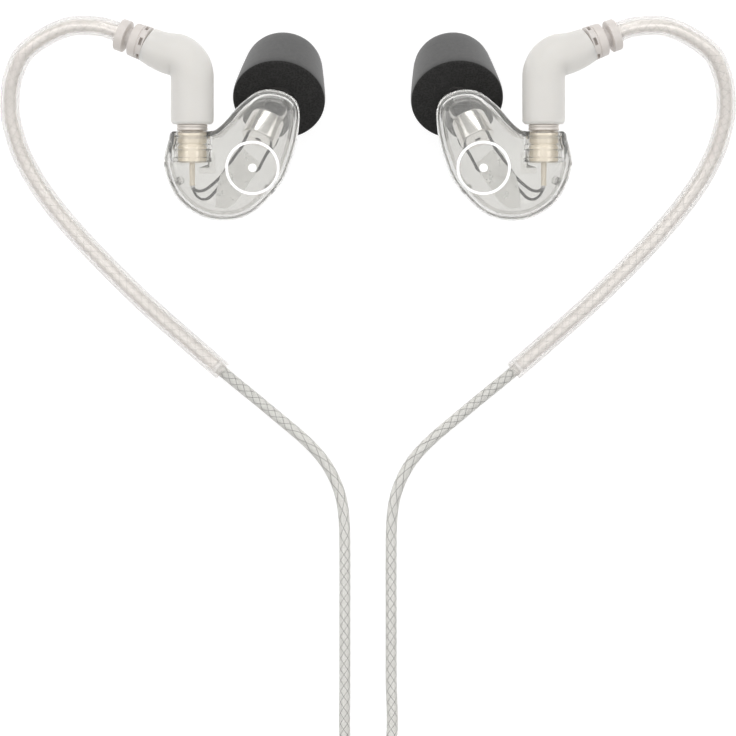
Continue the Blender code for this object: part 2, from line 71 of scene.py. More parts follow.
BRANCH_LINE = [
    (21.38, -26.50, 1.30), (20.15, -27.52, 1.10), (16.55, -30.45, 0.88),
    (12.98, -33.42, 0.87), (9.50, -36.38, 0.87), (6.76, -39.36, 0.87),
    (5.03, -42.33, 0.87), (4.00, -45.40, 0.87), (3.58, -49.00, 0.87),
    (3.50, -54.00, 0.87), (3.50, -62.00, 0.87), (3.50, -72.00, 0.87),
    (3.50, -82.00, 0.87)]


# ---- curves -----------------------------------------------------------------
def spline_through(pts, closed=False, per=12):
    P = [Vector(p) for p in pts]
    n = len(P)
    out = []
    for i in range(n if closed else n - 1):
        if closed:
            a, b, c, d = P[i - 1], P[i], P[(i + 1) % n], P[(i + 2) % n]
        else:
            b, c = P[i], P[i + 1]
            a = P[i - 1] if i > 0 else b * 2 - c
            d = P[i + 2] if i + 2 < n else c * 2 - b
        t0 = 0.0
        t1 = t0 + max((b - a).length, 1e-9) ** 0.5
        t2 = t1 + max((c - b).length, 1e-9) ** 0.5
        t3 = t2 + max((d - c).length, 1e-9) ** 0.5
        for k in range(per):
            t = t1 + (t2 - t1) * k / per
            A1 = a * ((t1 - t) / (t1 - t0)) + b * ((t - t0) / (t1 - t0))
            A2 = b * ((t2 - t) / (t2 - t1)) + c * ((t - t1) / (t2 - t1))
            A3 = c * ((t3 - t) / (t3 - t2)) + d * ((t - t2) / (t3 - t2))
            B1 = A1 * ((t2 - t) / (t2 - t0)) + A2 * ((t - t0) / (t2 - t0))
            B2 = A2 * ((t3 - t) / (t3 - t1)) + A3 * ((t - t1) / (t3 - t1))
            out.append(B1 * ((t2 - t) / (t2 - t1)) + B2 * ((t - t1) / (t2 - t1)))
    if not closed:
        out.append(P[-1].copy())
    return out


def run_lengths(pts):
    s = [0.0]
    for a, b in zip(pts, pts[1:]):
        s.append(s[-1] + (b - a).length)
    return s


def even(pts, step=None, count=None, closed=False):
    if closed:
        pts = list(pts) + [pts[0]]
    s = run_lengths(pts)
    if count is None:
        count = max(2, int(round(s[-1] / step)) + 1)
    n = count if closed else count - 1
    out, j = [], 0
    for k in range(count):
        t = s[-1] * k / n
        while j < len(s) - 2 and s[j + 1] < t:
            j += 1
        f = (t - s[j]) / max(s[j + 1] - s[j], 1e-12)
        out.append(pts[j].lerp(pts[j + 1], min(max(f, 0.0), 1.0)))
    return out


def smooth_line(pts, rounds):
    for _ in range(rounds):
        pts = [pts[0]] + [(a + b * 2 + c) / 4 for a, b, c in
                          zip(pts, pts[1:], pts[2:])] + [pts[-1]]
    return pts


def cut_ends(pts, head=0.0, tail=0.0):
    s = run_lengths(pts)
    return [p for p, t in zip(pts, s) if head <= t <= s[-1] - tail]


def frames_along(pts):
    """A steady (side, up) pair at each point: parallel transport."""
    n = len(pts)
    tang = []
    for i in range(n):
        a, b = pts[max(i - 1, 0)], pts[min(i + 1, n - 1)]
        tang.append((b - a).normalized())
    ref = Vector((0, 0, 1)) if abs(tang[0].z) < 0.9 else Vector((1, 0, 0))
    side = tang[0].cross(ref).normalized()
    out = []
    for i in range(n):
        if i:
            ax = tang[i - 1].cross(tang[i])
            if ax.length > 1e-9:
                ang = tang[i - 1].angle(tang[i])
                side = Matrix.Rotation(ang, 3, ax.normalized()) @ side
        side = (side - tang[i] * side.dot(tang[i])).normalized()
        out.append((side, tang[i].cross(side).normalized()))
    return out


# ---- meshes -----------------------------------------------------------------
ALL = []


def add(name, me, mat, body, *nodes, slot=None, smooth=40):
    ob = bpy.data.objects.new(name, me)
    bpy.context.scene.collection.objects.link(ob)
    me.materials.clear()
    for m in (mat if isinstance(mat, (list, tuple)) else [mat]):
        me.materials.append(m)
    if smooth:
        me.shade_smooth()
        if smooth < 180:
            me.set_sharp_from_angle(angle=math.radians(smooth))
    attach(ob, body)
    if nodes:
        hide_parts(*nodes)
    ALL.append(ob)
    return ob


def mesh_from(name, verts, faces, mats=None):
    me = bpy.data.meshes.new(name)
    me.from_pydata([tuple(Vector(v) * MM) for v in verts], [], faces)
    bm = bmesh.new()
    bm.from_mesh(me)
    bmesh.ops.remove_doubles(bm, verts=bm.verts, dist=1e-8)
    bmesh.ops.recalc_face_normals(bm, faces=bm.faces)
    bm.to_mesh(me)
    bm.free()
    return me


class Build:
    """Collects rings and patches of one mesh, in mm."""

    def __init__(self):
        self.v, self.f, self.m = [], [], []

    def ring(self, pts):
        i = len(self.v)
        self.v.extend(Vector(p) for p in pts)
        return list(range(i, i + len(pts)))

    def bridge(self, a, b, mat=0, closed=True):
        n = len(a)
        for i in range(n if closed else n - 1):
            j = (i + 1) % n
            self.f.append((a[i], a[j], b[j], b[i]))
            self.m.append(mat)

    def cap(self, a, mat=0, flip=False):
        c = len(self.v)
        mid = Vector((0, 0, 0))
        for i in a:
            mid += self.v[i]
        self.v.append(mid / len(a))
        n = len(a)
        for i in range(n):
            j = (i + 1) % n
            self.f.append((a[j], a[i], c) if flip else (a[i], a[j], c))
            self.m.append(mat)

    def mesh(self, name, recalc=True):
        me = bpy.data.meshes.new(name)
        me.from_pydata([tuple(v * MM) for v in self.v], [], self.f)
        me.polygons.foreach_set("material_index", self.m)
        if recalc:
            bm = bmesh.new()
            bm.from_mesh(me)
            bmesh.ops.recalc_face_normals(bm, faces=bm.faces)
            bm.to_mesh(me)
            bm.free()
        return me


def soften(prof, r, closed, seg=3):
    """Rounds the corners of a turned profile by at most r."""
    n = len(prof)
    P = [Vector(p) for p in prof]
    out = []
    for i in range(n):
        if not closed and i in (0, n - 1):
            out.append(P[i])
            continue
        a, b, c = P[i - 1], P[i], P[(i + 1) % n]
        u, w = a - b, c - b
        la, lc = u.length, w.length
        if la < 1e-6 or lc < 1e-6 or u.angle(w) > math.radians(172):
            out.append(b)
            continue
        k = min(r, la * 0.4, lc * 0.4)
        u, w = u.normalized() * k, w.normalized() * k
        for t in range(seg + 1):
            f = t / seg
            out.append(b + u * (1 - f) ** 2 + w * f ** 2)
    return out


def lathe_into(B, prof, at, along, steps=64, round_r=0.08, mat=0):
    closed = prof[0][0] > 0.0
    pts = soften(prof, round_r, closed)
    q = Vector(along).to_track_quat('Z', 'Y')
    rings = []
    for r, h in [(p[0], p[1]) for p in pts]:
        r = max(r, 1e-4)
        rings.append(B.ring([Vector(at) + q @ Vector((
            r * math.cos(2 * math.pi * k / steps),
            r * math.sin(2 * math.pi * k / steps), h)) for k in range(steps)]))
    for a, b in zip(rings, rings[1:]):
        B.bridge(a, b, mat)
    if closed:
        B.bridge(rings[-1], rings[0], mat)
    return rings


def lathe(name, prof, at, along, mat, body, *nodes, steps=64, round_r=0.08,
          slot=None, smooth=35):
    B = Build()
    lathe_into(B, prof, at, along, steps, round_r)
    me = B.mesh(name)
    bm = bmesh.new()
    bm.from_mesh(me)
    bmesh.ops.remove_doubles(bm, verts=bm.verts, dist=5e-7)
    bmesh.ops.recalc_face_normals(bm, faces=bm.faces)
    bm.to_mesh(me)
    bm.free()
    return add(name, me, mat, body, *nodes, slot=slot, smooth=smooth)


def sweep_into(B, pts, radius, sides=12, mat=0, caps=True, radii=None, frames=None,
               round_end=False):
    fr = frames or frames_along(pts)
    rings = []
    for i, p in enumerate(pts):
        r = radius if radii is None else radii[i]
        s, u = fr[i]
        rings.append(B.ring([p + s * (r * math.cos(2 * math.pi * k / sides)) +
                             u * (r * math.sin(2 * math.pi * k / sides))
                             for k in range(sides)]))
    for a, b in zip(rings, rings[1:]):
        B.bridge(a, b, mat)
    if caps:
        B.cap(rings[0], mat, True)
        B.cap(rings[-1], mat)
    return rings


def sweep_flat(name, pts, radius, mat, body, *nodes, sides=16, slot=None,
               radii=None, smooth=180):
    B = Build()
    sweep_into(B, pts, radius, sides, radii=radii)
    return add(name, B.mesh(name, False), mat, body, *nodes, slot=slot, smooth=smooth)


def box_into(B, size, at, turn=0.0, bevel=0.3, mat=0, z_turn=None, seg=3):
    """A rounded block: a superellipse-like loft, turned about Z."""
    hx, hy, hz = size[0] / 2, size[1] / 2, size[2] / 2
    b = min(bevel, hx * 0.98, hy * 0.98, hz * 0.98)
    rows = []
    for zz, ins in [(-hz, b)] + [
            (-hz + b - b * math.cos(math.pi / 2 * t / seg), b - b * math.sin(math.pi / 2 * t / seg))
            for t in range(1, seg + 1)] + [
            (hz - b + b * math.sin(math.pi / 2 * t / seg), b - b * math.cos(math.pi / 2 * t / seg))
            for t in range(0, seg + 1)]:
        pts = []
        x, y = hx - ins, hy - ins
        c = max(b * 1.0 - ins * 0.0, 0.01)
        c = min(c, x * 0.98, y * 0.98)
        for (qx, qy, a0) in ((1, 1, 0), (-1, 1, 90), (-1, -1, 180), (1, -1, 270)):
            for t in range(5):
                a = math.radians(a0 + 90 * t / 4)
                pts.append(((x - c) * qx + c * math.cos(a), (y - c) * qy + c * math.sin(a), zz))
        rows.append(pts)
    R = Matrix.Rotation(turn, 3, 'Z')
    rings = [B.ring([Vector(at) + R @ Vector(p) for p in row]) for row in rows]
    for a, c in zip(rings, rings[1:]):
        B.bridge(a, c, mat)
    B.cap(rings[0], mat, True)
    B.cap(rings[-1], mat)
    return rings


# ---- materials --------------------------------------------------------------
def new_mat(name):
    m = bpy.data.materials.new(name)
    m.use_nodes = True
    nt = m.node_tree
    return m, nt, nt.nodes["Principled BSDF"], nt.nodes["Material Output"]


def node(nt, kind, **kw):
    n = nt.nodes.new(kind)
    for k, v in kw.items():
        if k.startswith("_"):
            setattr(n, k[1:], v)
        else:
            n.inputs[k].default_value = v
    return n


def coords(nt, scale=1.0, use="Object"):
    tc = nt.nodes.new("ShaderNodeTexCoord")
    mp = node(nt, "ShaderNodeMapping")
    mp.inputs["Scale"].default_value = (scale, scale, scale)
    nt.links.new(tc.outputs[use], mp.inputs["Vector"])
    return mp.outputs["Vector"]


def noise_tex(nt, scale, detail=3.0, rough=0.55, vec=None, dist=0.0):
    n = node(nt, "ShaderNodeTexNoise")
    n.inputs["Scale"].default_value = scale
    n.inputs["Detail"].default_value = detail
    n.inputs["Roughness"].default_value = rough
    n.inputs["Distortion"].default_value = dist
    nt.links.new(vec if vec is not None else coords(nt), n.inputs["Vector"])
    return n.outputs["Fac"]


def ramp(nt, fac, stops):
    r = nt.nodes.new("ShaderNodeValToRGB")
    e = r.color_ramp.elements
    while len(e) < len(stops):
        e.new(0.5)
    for k, (p, c) in enumerate(stops):
        e[k].position = p
        e[k].color = (*c, 1.0) if len(c) == 3 else c
    nt.links.new(fac, r.inputs["Fac"])
    return r.outputs["Color"]


def grey_range(nt, fac, lo, hi):
    m = nt.nodes.new("ShaderNodeMapRange")
    m.inputs["To Min"].default_value = lo
    m.inputs["To Max"].default_value = hi
    nt.links.new(fac, m.inputs["Value"])
    return m.outputs["Result"]


def bump(nt, height, strength, dist, into, normal=None):
    b = nt.nodes.new("ShaderNodeBump")
    b.inputs["Strength"].default_value = strength
    b.inputs["Distance"].default_value = dist
    nt.links.new(height, b.inputs["Height"])
    nt.links.new(b.outputs["Normal"], into.inputs["Normal"])
    return b


def lets_lamps_through(nt, shader, out, tint):
    lp = nt.nodes.new("ShaderNodeLightPath")
    tr = nt.nodes.new("ShaderNodeBsdfTransparent")
    tr.inputs["Color"].default_value = (*tint, 1.0)
    mx = nt.nodes.new("ShaderNodeMixShader")
    nt.links.new(lp.outputs["Is Shadow Ray"], mx.inputs["Fac"])
    nt.links.new(shader.outputs[0], mx.inputs[1])
    nt.links.new(tr.outputs[0], mx.inputs[2])
    nt.links.new(mx.outputs[0], out.inputs["Surface"])


def clear_plastic(name, tint, rough=0.02, ior=1.49, shadow=0.92, clear=1.0):
    m, nt, b, out = new_mat(name)
    n = noise_tex(nt, 420.0, 2.0)
    c = ramp(nt, n, [(0.3, tint), (0.7, [min(1.0, t * 1.012) for t in tint])])
    nt.links.new(c, b.inputs["Base Color"])
    b.inputs["Transmission Weight"].default_value = clear
    b.inputs["IOR"].default_value = ior
    nt.links.new(grey_range(nt, noise_tex(nt, 900.0, 3.0), rough * 0.5, rough * 1.6),
                 b.inputs["Roughness"])
    bump(nt, noise_tex(nt, 300.0, 1.0), 0.08, 0.00001, b)
    lets_lamps_through(nt, b, out, [t * shadow for t in tint])
    return m


def frosted(name, colour, deep, rough=0.42, sss=0.5):
    """Milky translucent moulding."""
    m, nt, b, out = new_mat(name)
    n = noise_tex(nt, 150.0, 4.0)
    c = ramp(nt, n, [(0.25, deep), (0.75, colour)])
    nt.links.new(c, b.inputs["Base Color"])
    b.inputs["Subsurface Weight"].default_value = sss
    b.inputs["Subsurface Radius"].default_value = (1.0, 0.95, 0.88)
    b.inputs["Subsurface Scale"].default_value = 0.0028
    b.inputs["IOR"].default_value = 1.47
    nt.links.new(grey_range(nt, noise_tex(nt, 1400.0, 3.0), rough * 0.85, rough * 1.2),
                 b.inputs["Roughness"])
    bump(nt, noise_tex(nt, 5200.0, 3.0), 0.12, 0.00003, b)
    return m


def metal(name, lo, hi, rough=0.2, scratch=0.08, stretch=None):
    m, nt, b, out = new_mat(name)
    vec = coords(nt)
    n = noise_tex(nt, 320.0, 4.0, vec=vec)
    nt.links.new(ramp(nt, n, [(0.3, lo), (0.7, hi)]), b.inputs["Base Color"])
    b.inputs["Metallic"].default_value = 1.0
    nt.links.new(grey_range(nt, noise_tex(nt, 1800.0, 4.0, vec=vec), rough * 0.7, rough * 1.35),
                 b.inputs["Roughness"])
    bump(nt, noise_tex(nt, 2600.0, 3.0, vec=vec), scratch, 0.00001, b)
    return m


def plain(name, lo, hi, rough=0.5, scale=600.0, bumpy=0.1, depth=0.00002, fine=3000.0,
          spec=0.5, sheen=0.0):
    m, nt, b, out = new_mat(name)
    vec = coords(nt)
    n = noise_tex(nt, scale, 4.0, vec=vec)
    nt.links.new(ramp(nt, n, [(0.3, lo), (0.7, hi)]), b.inputs["Base Color"])
    nt.links.new(grey_range(nt, noise_tex(nt, scale * 3, 3.0, vec=vec), rough * 0.85, min(1.0, rough * 1.15)),
                 b.inputs["Roughness"])
    b.inputs["Specular IOR Level"].default_value = spec
    if sheen:
        b.inputs["Sheen Weight"].default_value = sheen
        b.inputs["Sheen Roughness"].default_value = 0.6
    bump(nt, noise_tex(nt, fine, 4.0, vec=vec), bumpy, depth, b)
    return m


def foam_mat(name, lo, hi):
    """Open-cell foam: small pits, a matt skin, slight mottling."""
    m, nt, b, out = new_mat(name)
    vec = coords(nt)
    v = node(nt, "ShaderNodeTexVoronoi")
    v.inputs["Scale"].default_value = 3600.0
    nt.links.new(vec, v.inputs["Vector"])
    cells = v.outputs["Distance"]
    big = noise_tex(nt, 500.0, 5.0, vec=vec)
    mix = nt.nodes.new("ShaderNodeMath")
    mix.operation = 'MULTIPLY'
    nt.links.new(cells, mix.inputs[0])
    mix.inputs[1].default_value = 1.1
    addn = nt.nodes.new("ShaderNodeMath")
    addn.operation = 'ADD'
    nt.links.new(mix.outputs[0], addn.inputs[0])
    nt.links.new(grey_range(nt, big, -0.3, 0.4), addn.inputs[1])
    nt.links.new(ramp(nt, addn.outputs[0], [(0.05, lo), (0.9, hi)]), b.inputs["Base Color"])
    b.inputs["Roughness"].default_value = 0.96
    b.inputs["Specular IOR Level"].default_value = 0.12
    b.inputs["Sheen Weight"].default_value = 0.12
    b.inputs["Sheen Roughness"].default_value = 0.45
    bump(nt, addn.outputs[0], 0.3, 0.00005, b)
    return m


# ---- the materials of the set -----------------------------------------------
CLEAR = clear_plastic("clear_shell", [0.80, 0.795, 0.78], 0.010, clear=0.94)
CLEAR_TUBE = clear_plastic("clear_tube", [0.87, 0.855, 0.84], 0.03, 1.47, clear=0.82)
CLEAR_STEM = clear_plastic("clear_stem", [0.84, 0.835, 0.83], 0.05, clear=0.97)
JACKET = clear_plastic("clear_jacket", [0.93, 0.925, 0.91], 0.08, 1.46, shadow=0.94, clear=0.86)
STEEL = metal("steel_polished", [0.88, 0.865, 0.84], [0.93, 0.92, 0.90], 0.18, 0.03)
MAGNET = metal("magnet_nickel", [0.42, 0.42, 0.43], [0.52, 0.52, 0.53], 0.3)
COPPER = metal("copper_wound", [0.75, 0.38, 0.22], [0.88, 0.5, 0.32], 0.3)
GOLD = metal("gold_plated", [0.90, 0.80, 0.60], [0.97, 0.90, 0.74], 0.2)
PLUGMETAL = metal("plug_metal", [0.66, 0.66, 0.67], [0.75, 0.75, 0.76], 0.28, 0.12)
FILM = plain("diaphragm_film", [0.72, 0.70, 0.60], [0.80, 0.78, 0.68], 0.2)
WIRE = plain("wire_enamel", [0.028, 0.026, 0.025], [0.055, 0.052, 0.05], 0.35, 900.0)
SPRING = metal("spring_steel", [0.72, 0.72, 0.73], [0.8, 0.8, 0.81], 0.22)
FROST = frosted("frosted_plastic", [0.55, 0.538, 0.516], [0.535, 0.522, 0.50], 0.42, 0.8)
# The frosted plastic also glows faintly (emission 0.14). This glow is painted light standing in for light
# passing through the milky moulding, and it lifts its shaded edges.
for FROST_IN in (FROST.node_tree.nodes["Principled BSDF"].inputs,):
    FROST_IN["Emission Color"].default_value = (1.0, 0.985, 0.96, 1)
    FROST_IN["Emission Strength"].default_value = 0.14
BEIGE = frosted("beige_plastic", [0.665, 0.62, 0.59], [0.63, 0.59, 0.56], 0.4, 0.25)
FOAMS = foam_mat("foam", [0.016, 0.0155, 0.015], [0.034, 0.0335, 0.033])
FOAM_SKIN = plain("foam_skin", [0.026, 0.0255, 0.025], [0.042, 0.0415, 0.041], 0.52, 1500.0,
                  0.25, 0.00003, 5200.0, 0.5, 0.12)
CORE_RUBBER = plain("core_rubber", [0.035, 0.034, 0.033], [0.05, 0.049, 0.048], 0.5)
DARK_RUBBER = plain("dark_rubber", [0.03, 0.03, 0.031], [0.05, 0.05, 0.051], 0.55)
BLACK = plain("black_plastic", [0.02, 0.02, 0.02], [0.03, 0.03, 0.03], 0.3)
INK = plain("white_print", [0.93, 0.93, 0.93], [0.96, 0.96, 0.96], 0.5, 2400.0)
# The print's white is its own colour. Its faint glow is painted light that keeps it reading bright white.
INK.node_tree.nodes["Principled BSDF"].inputs["Emission Color"].default_value = (1, 1, 1, 1)
INK.node_tree.nodes["Principled BSDF"].inputs["Emission Strength"].default_value = 0.18
SOLDER = metal("solder", [0.6, 0.6, 0.6], [0.72, 0.72, 0.72], 0.25)


def smoothstep(f):
    f = min(max(f, 0.0), 1.0)
    return f * f * (3 - 2 * f)


def coil_run(keys, step=4.0):
    """Points round the coil through keyframes (degrees, radius, height)."""
    out = []
    for (t0, r0, z0), (t1, r1, z1) in zip(keys, keys[1:]):
        n = max(1, int(round((t1 - t0) / step)))
        for k in range(n):
            f = k / n
            g = smoothstep(f)
            t = math.radians(t0 + (t1 - t0) * f)
            r, z = r0 + (r1 - r0) * g, z0 + (z1 - z0) * g
            out.append(Vector((CX + r * math.cos(t), CY + r * math.sin(t), z)))
    t0, r0, z0 = keys[-1]
    t = math.radians(t0)
    out.append(Vector((CX + r0 * math.cos(t), CY + r0 * math.sin(t), z0)))
    return out


def hook_line(s):
    flat = spline_through([(u, v, 0.0) for u, v in HOOK_LINE], per=16)
    run = run_lengths(flat)
    z0 = AXIS_Z + ARM_DIR[2] / ARM_DIR[0] * (HOOK_LINE[0][0] - AXIS_U)
    slope = ARM_DIR[2] / math.hypot(ARM_DIR[0], ARM_DIR[1])
    low = HOOK_R + 0.02
    out = []
    for p, t in zip(flat, run):
        f = min(t / HOOK_TOUCH, 1.0)
        h00, h10, h01 = 2 * f**3 - 3 * f**2 + 1, f**3 - 2 * f**2 + f, 3 * f**2 - 2 * f**3
        out.append(Vector((s * p.x, p.y, z0 * h00 + slope * HOOK_TOUCH * h10 + low * h01)))
    return out


def branch_line(tag):
    s = -1 if tag == "left" else 1
    r = 14.45 if tag == "left" else 12.75
    x_in = CX - r
    pts = [Vector((s * u, v, z)) for u, v, z in BRANCH_LINE]
    pts += [Vector((s * 3.5 * 0.55 + x_in * 0.45, -89.0, 0.9)),
            Vector((x_in + s * 0.2, -95.0, 1.3))]
    if tag == "left":
        pts.append(Vector((x_in - 0.05, -98.5, 1.5)))
    else:
        pts.append(Vector((x_in + 0.05, -98.5, 1.5)))
    pts.append(Vector((x_in, -104.0, 1.7)))
    lead_in = [Vector((x_in, CY, 1.85))]
    free = spline_through(pts + lead_in, per=10)[:-1]
    if tag == "left":
        keys = [(180, 14.45, 1.85), (450, 14.45, 1.85), (480, 12.75, 1.9),
                (505, 12.75, 3.6), (690, 12.75, 3.6), (742, 16.15, 3.45),
                (990, 16.15, 3.3)]
        y0, y1, x0 = -128.15, -127.95, 22.4
    else:
        keys = [(180, 12.75, 1.85), (385, 12.75, 1.85), (412, 12.75, 3.6),
                (445, 14.45, 3.6), (690, 14.45, 3.6), (742, 17.85, 3.45),
                (990, 17.85, 3.3)]
        y0, y1, x0 = -129.85, -130.1, 19.5
    wound = coil_run(keys)
    tail = [Vector((CX, y0, 3.3)), Vector((x0 - 3, y0, 3.25)),
            Vector((x0, y0 + (y1 - y0) * 0.4, 3.2)),
            Vector((x0 + 3.5 if x0 < 20 else x0 + 2.0, y1, 2.6)),
            Vector((28.0, y1, 2.2)), Vector((35.0, y1, 2.2)),
            Vector((42.6, y1, 2.2))]
    run = free + wound[:-1] + spline_through(tail, per=8)
    return smooth_line(even(run, step=0.4), 3)


def main_line():
    mid = -129.02
    pts = [Vector((52.6, mid, 2.2)), Vector((53.6, mid, 2.2)), Vector((56.5, mid + 0.1, 1.7))]
    for k in range(9):
        t = math.radians(-78 + 156 * k / 8)
        pts.append(Vector((57.0 + 17.0 * math.cos(t), CY + 17.04 * math.sin(t), 1.22)))
    pts += [Vector((52.0, CY + 17.05, 1.3)), Vector((42.0, CY + 17.05, 1.9)),
            Vector((32.0, CY + 17.05, 3.9)), Vector((26.0, CY + 17.05, 4.9)),
            Vector((21.5, CY + 17.1, 5.4)), Vector((16.5, CY + 17.1, 5.55))]
    free = spline_through(pts + [Vector((CX, CY + 17.05, 5.6))], per=8)[:-1]
    keys = [(90.0, 17.05, 5.6)]
    rs = [17.05, 14.75, 12.45, 10.15, 10.15, 12.45, 14.75, 17.05]
    for k in range(7):
        end = 90.0 + 360.0 * (k + 1)
        z0, z1 = (5.6, 5.6) if k < 3 else ((5.6, 7.9) if k == 3 else (7.9, 7.9))
        a, b = (45, 5) if k < 3 else ((80, 40) if k == 3 else (120, 78))
        keys += [(end - a, rs[k], z0), (end - b, rs[k + 1], z1)]
    keys.append((2700.0, 17.05, 7.9))
    wound = coil_run(keys)
    tail = [Vector((CX - 17.05, CY, 7.9)), Vector((CX - 17.1, CY - 4.0, 7.8)),
            Vector((CX - 17.4, CY - 8.6, 7.3)), Vector((-6.3, -124.0, 6.6)),
            Vector((-9.2, -127.4, 5.4)), Vector((-13.2, -129.2, 4.2)),
            Vector((-17.6, -129.6, 3.5)), Vector((-22.6, -129.6, 3.4))]
    run = free + wound[:-1] + spline_through(tail, per=10)
    return smooth_line(even(run, step=0.5), 3)


def strands(name, pts, count, helix, radius, pitch_at, mat, body, sides=8, step=0.3,
            phase=0.0):
    """count strands laid round the line pts; pitch_at(s) is one full turn in mm."""
    line = even(pts, step=step)
    fr = frames_along(line)
    s = run_lengths(line)
    ang, turn = [], phase
    for i in range(len(line)):
        if i:
            turn += 2 * math.pi * (s[i] - s[i - 1]) / pitch_at(s[i])
        ang.append(turn)
    B = Build()
    for k in range(count):
        off = 2 * math.pi * k / count
        path = [p + f[0] * (helix * math.cos(a + off)) + f[1] * (helix * math.sin(a + off))
                for p, f, a in zip(line, fr, ang)]
        sweep_into(B, path, radius, sides, mat=0)
    return add(name, B.mesh(name, False), mat, body, smooth=180)


def strand_mat(name, lo, hi):
    m, nt, b, out = new_mat(name)
    vec = coords(nt)
    n = noise_tex(nt, 2200.0, 4.0, vec=vec)
    nt.links.new(ramp(nt, n, [(0.3, lo), (0.7, hi)]), b.inputs["Base Color"])
    nt.links.new(grey_range(nt, noise_tex(nt, 5200.0, 2.0, vec=vec), 0.3, 0.5), b.inputs["Roughness"])
    b.inputs["Specular IOR Level"].default_value = 0.35
    bump(nt, noise_tex(nt, 9000.0, 3.0, vec=vec), 0.25, 0.00003, b)
    return m


STRAND = strand_mat("strand_white", [0.70, 0.695, 0.67], [0.80, 0.795, 0.77])


# ---- the three cords --------------------------------------------------------
def lay_at(s):
    """One full turn of a laid strand, in mm: long only where the cable bends inwards."""
    return 6.2 + 5.8 * smoothstep((s - 13.5) / 2.5) - 5.4 * smoothstep((s - 28.0) / 9.0)


def make_cord(name, line, radius, node_list, core, lay, sides=16, step=0.5):
    """A clear jacket, the braided core inside it, and the seams between its strands."""
    if name.startswith("branch_"):
        line = even([line[0] - (line[1] - line[0]).normalized() * 1.6] + line, step=0.4)
    B = Build()
    sweep_into(B, even(line, step=step), radius, sides)
    ob = add(name, B.mesh(name, False), JACKET, "cable_set", *node_list,
             slot="cord_jacket", smooth=180)
    inner = cut_ends(line, 0.05, 0.05)
    B = Build()
    sweep_into(B, even(inner, step=step), core, sides)
    co = add(name + "_core", B.mesh(name + "_core", False), STRAND, "cable_set", smooth=180)
    laid = []
    for k, turn in enumerate((1.0, -1.0)):
        laid.append(strands(name + "_seams%d" % k, inner, 4, core - 0.01, SEAM_R,
                            lambda q, t=turn: t * lay(q), SEAM, "cable_set", sides=5,
                            step=0.42, phase=0.4 * k))
    return ob, [co] + laid


SEAM_R = 0.05
SEAM_SOFT = plain("strand_seam_soft", [0.46, 0.45, 0.435], [0.54, 0.53, 0.515], 0.5, 1800.0)
SEAM = plain("strand_seam", [0.22, 0.215, 0.205], [0.30, 0.295, 0.285], 0.6, 1800.0)
LINES = {}
CORDS = {}
for tag in ("left", "right"):
    s = -1 if tag == "left" else 1
    tail = hook_line(s)[-1]
    line = branch_line(tag)
    LINES[tag] = line
    nodes = ["cable_" + tag, "cable_pair_inner" if tag == "left" else "cable_pair_outer"]
    CORDS[tag] = make_cord("branch_" + tag, line, BRANCH_R, nodes, 0.70, lay_at)
LINES["main"] = main_line()
CORDS["main"] = make_cord("cable_main_run", LINES["main"], MAIN_R,
                          ["cable_main", "cable_plug_lead", "cord_coil"], 0.96,
                          lambda s: 14.0, step=0.6)
for k, line in LINES.items():
    print("CORD", k, round(run_lengths(line)[-1], 2))


def declare(tag):
    ob, st = CORDS[tag]


# ---- shells -----------------------------------------------------------------
def outline_ring(count=150):
    dense = spline_through([(u, v, 0.0) for u, v in OUTLINE], per=10)
    pts = even(dense, count=count)
    a, b = pts[-1], pts[0]
    n = 12
    pts += [a.lerp(b, k / n) for k in range(1, n)]
    # ease the two corners of the boss
    m = len(pts)
    for _ in range(2):
        pts = [(pts[i - 1] + pts[i] * 2 + pts[(i + 1) % m]) / 4 for i in range(m)]
    return pts


def inset(ring, d):
    m = len(ring)
    out = []
    for i in range(m):
        t = (ring[(i + 1) % m] - ring[i - 1]).normalized()
        out.append(Vector((t.y, -t.x, 0.0)))
    area2 = sum(ring[i].x * ring[(i + 1) % m].y - ring[(i + 1) % m].x * ring[i].y
                for i in range(m))
    sign = -1.0 if area2 > 0 else 1.0
    out = [o * sign for o in out]
    for _ in range(4):
        out = [(out[i - 1] + out[i] * 2 + out[(i + 1) % m]).normalized() for i in range(m)]
    return [p + o * d for p, o in zip(ring, out)]


RING = outline_ring()
RING_IN = inset(RING, 0.8)
RING_MID = inset(RING, 0.42)
TOPS = [(1.0, 0.0), (0.9975, 0.55), (0.992, 1.0), (0.984, 1.4), (0.970, 1.78),
        (0.952, 2.08), (0.928, 2.34), (0.895, 2.58), (0.855, 2.76), (0.80, 2.90),
        (0.70, 3.02), (0.55, 3.09), (0.36, 3.12), (0.17, 3.13)]
LOWS = [(1.0, 0.0), (0.999, 1.1), (0.996, 2.2), (0.988, 3.1), (0.972, 3.9),
        (0.950, 4.6), (0.920, 5.2), (0.880, 5.75), (0.825, 6.25), (0.75, 6.62),
        (0.64, 6.82), (0.48, 6.9), (0.3, 6.93), (0.14, 6.94)]


def shell_mesh(name, s, levels, z0, away, lip):
    """A closed shell half: outer face, rim with a step, inner face."""
    B = Build()

    def row(ring, k, z):
        return B.ring([Vector(((SHELL_C[0] + (p.x - SHELL_C[0]) * k) * s,
                               SHELL_C[1] + (p.y - SHELL_C[1]) * k, z)) for p in ring])
    rows = [row(RING, k, z0 + away * h) for k, h in levels]
    for a, b in zip(rows, rows[1:]):
        B.bridge(a, b)
    B.cap(rows[-1])
    depth = levels[-1][1]
    ins = [row(RING_IN, k, z0 + away * h * (depth - 0.8) / depth) for k, h in levels]
    for a, b in zip(ins, ins[1:]):
        B.bridge(a, b)
    B.cap(ins[-1])
    # rim: an outer land, a step, and an inner land lip lower or higher
    mid_a = row(RING_MID, 1.0, z0)
    mid_b = row(inset(RING, 0.45), 1.0, z0 - away * lip)
    end = row(inset(RING, 0.78), 1.0, z0 - away * lip)
    B.bridge(rows[0], mid_a)
    B.bridge(mid_a, mid_b)
    B.bridge(mid_b, end)
    B.bridge(end, ins[0])
    return B.mesh(name)


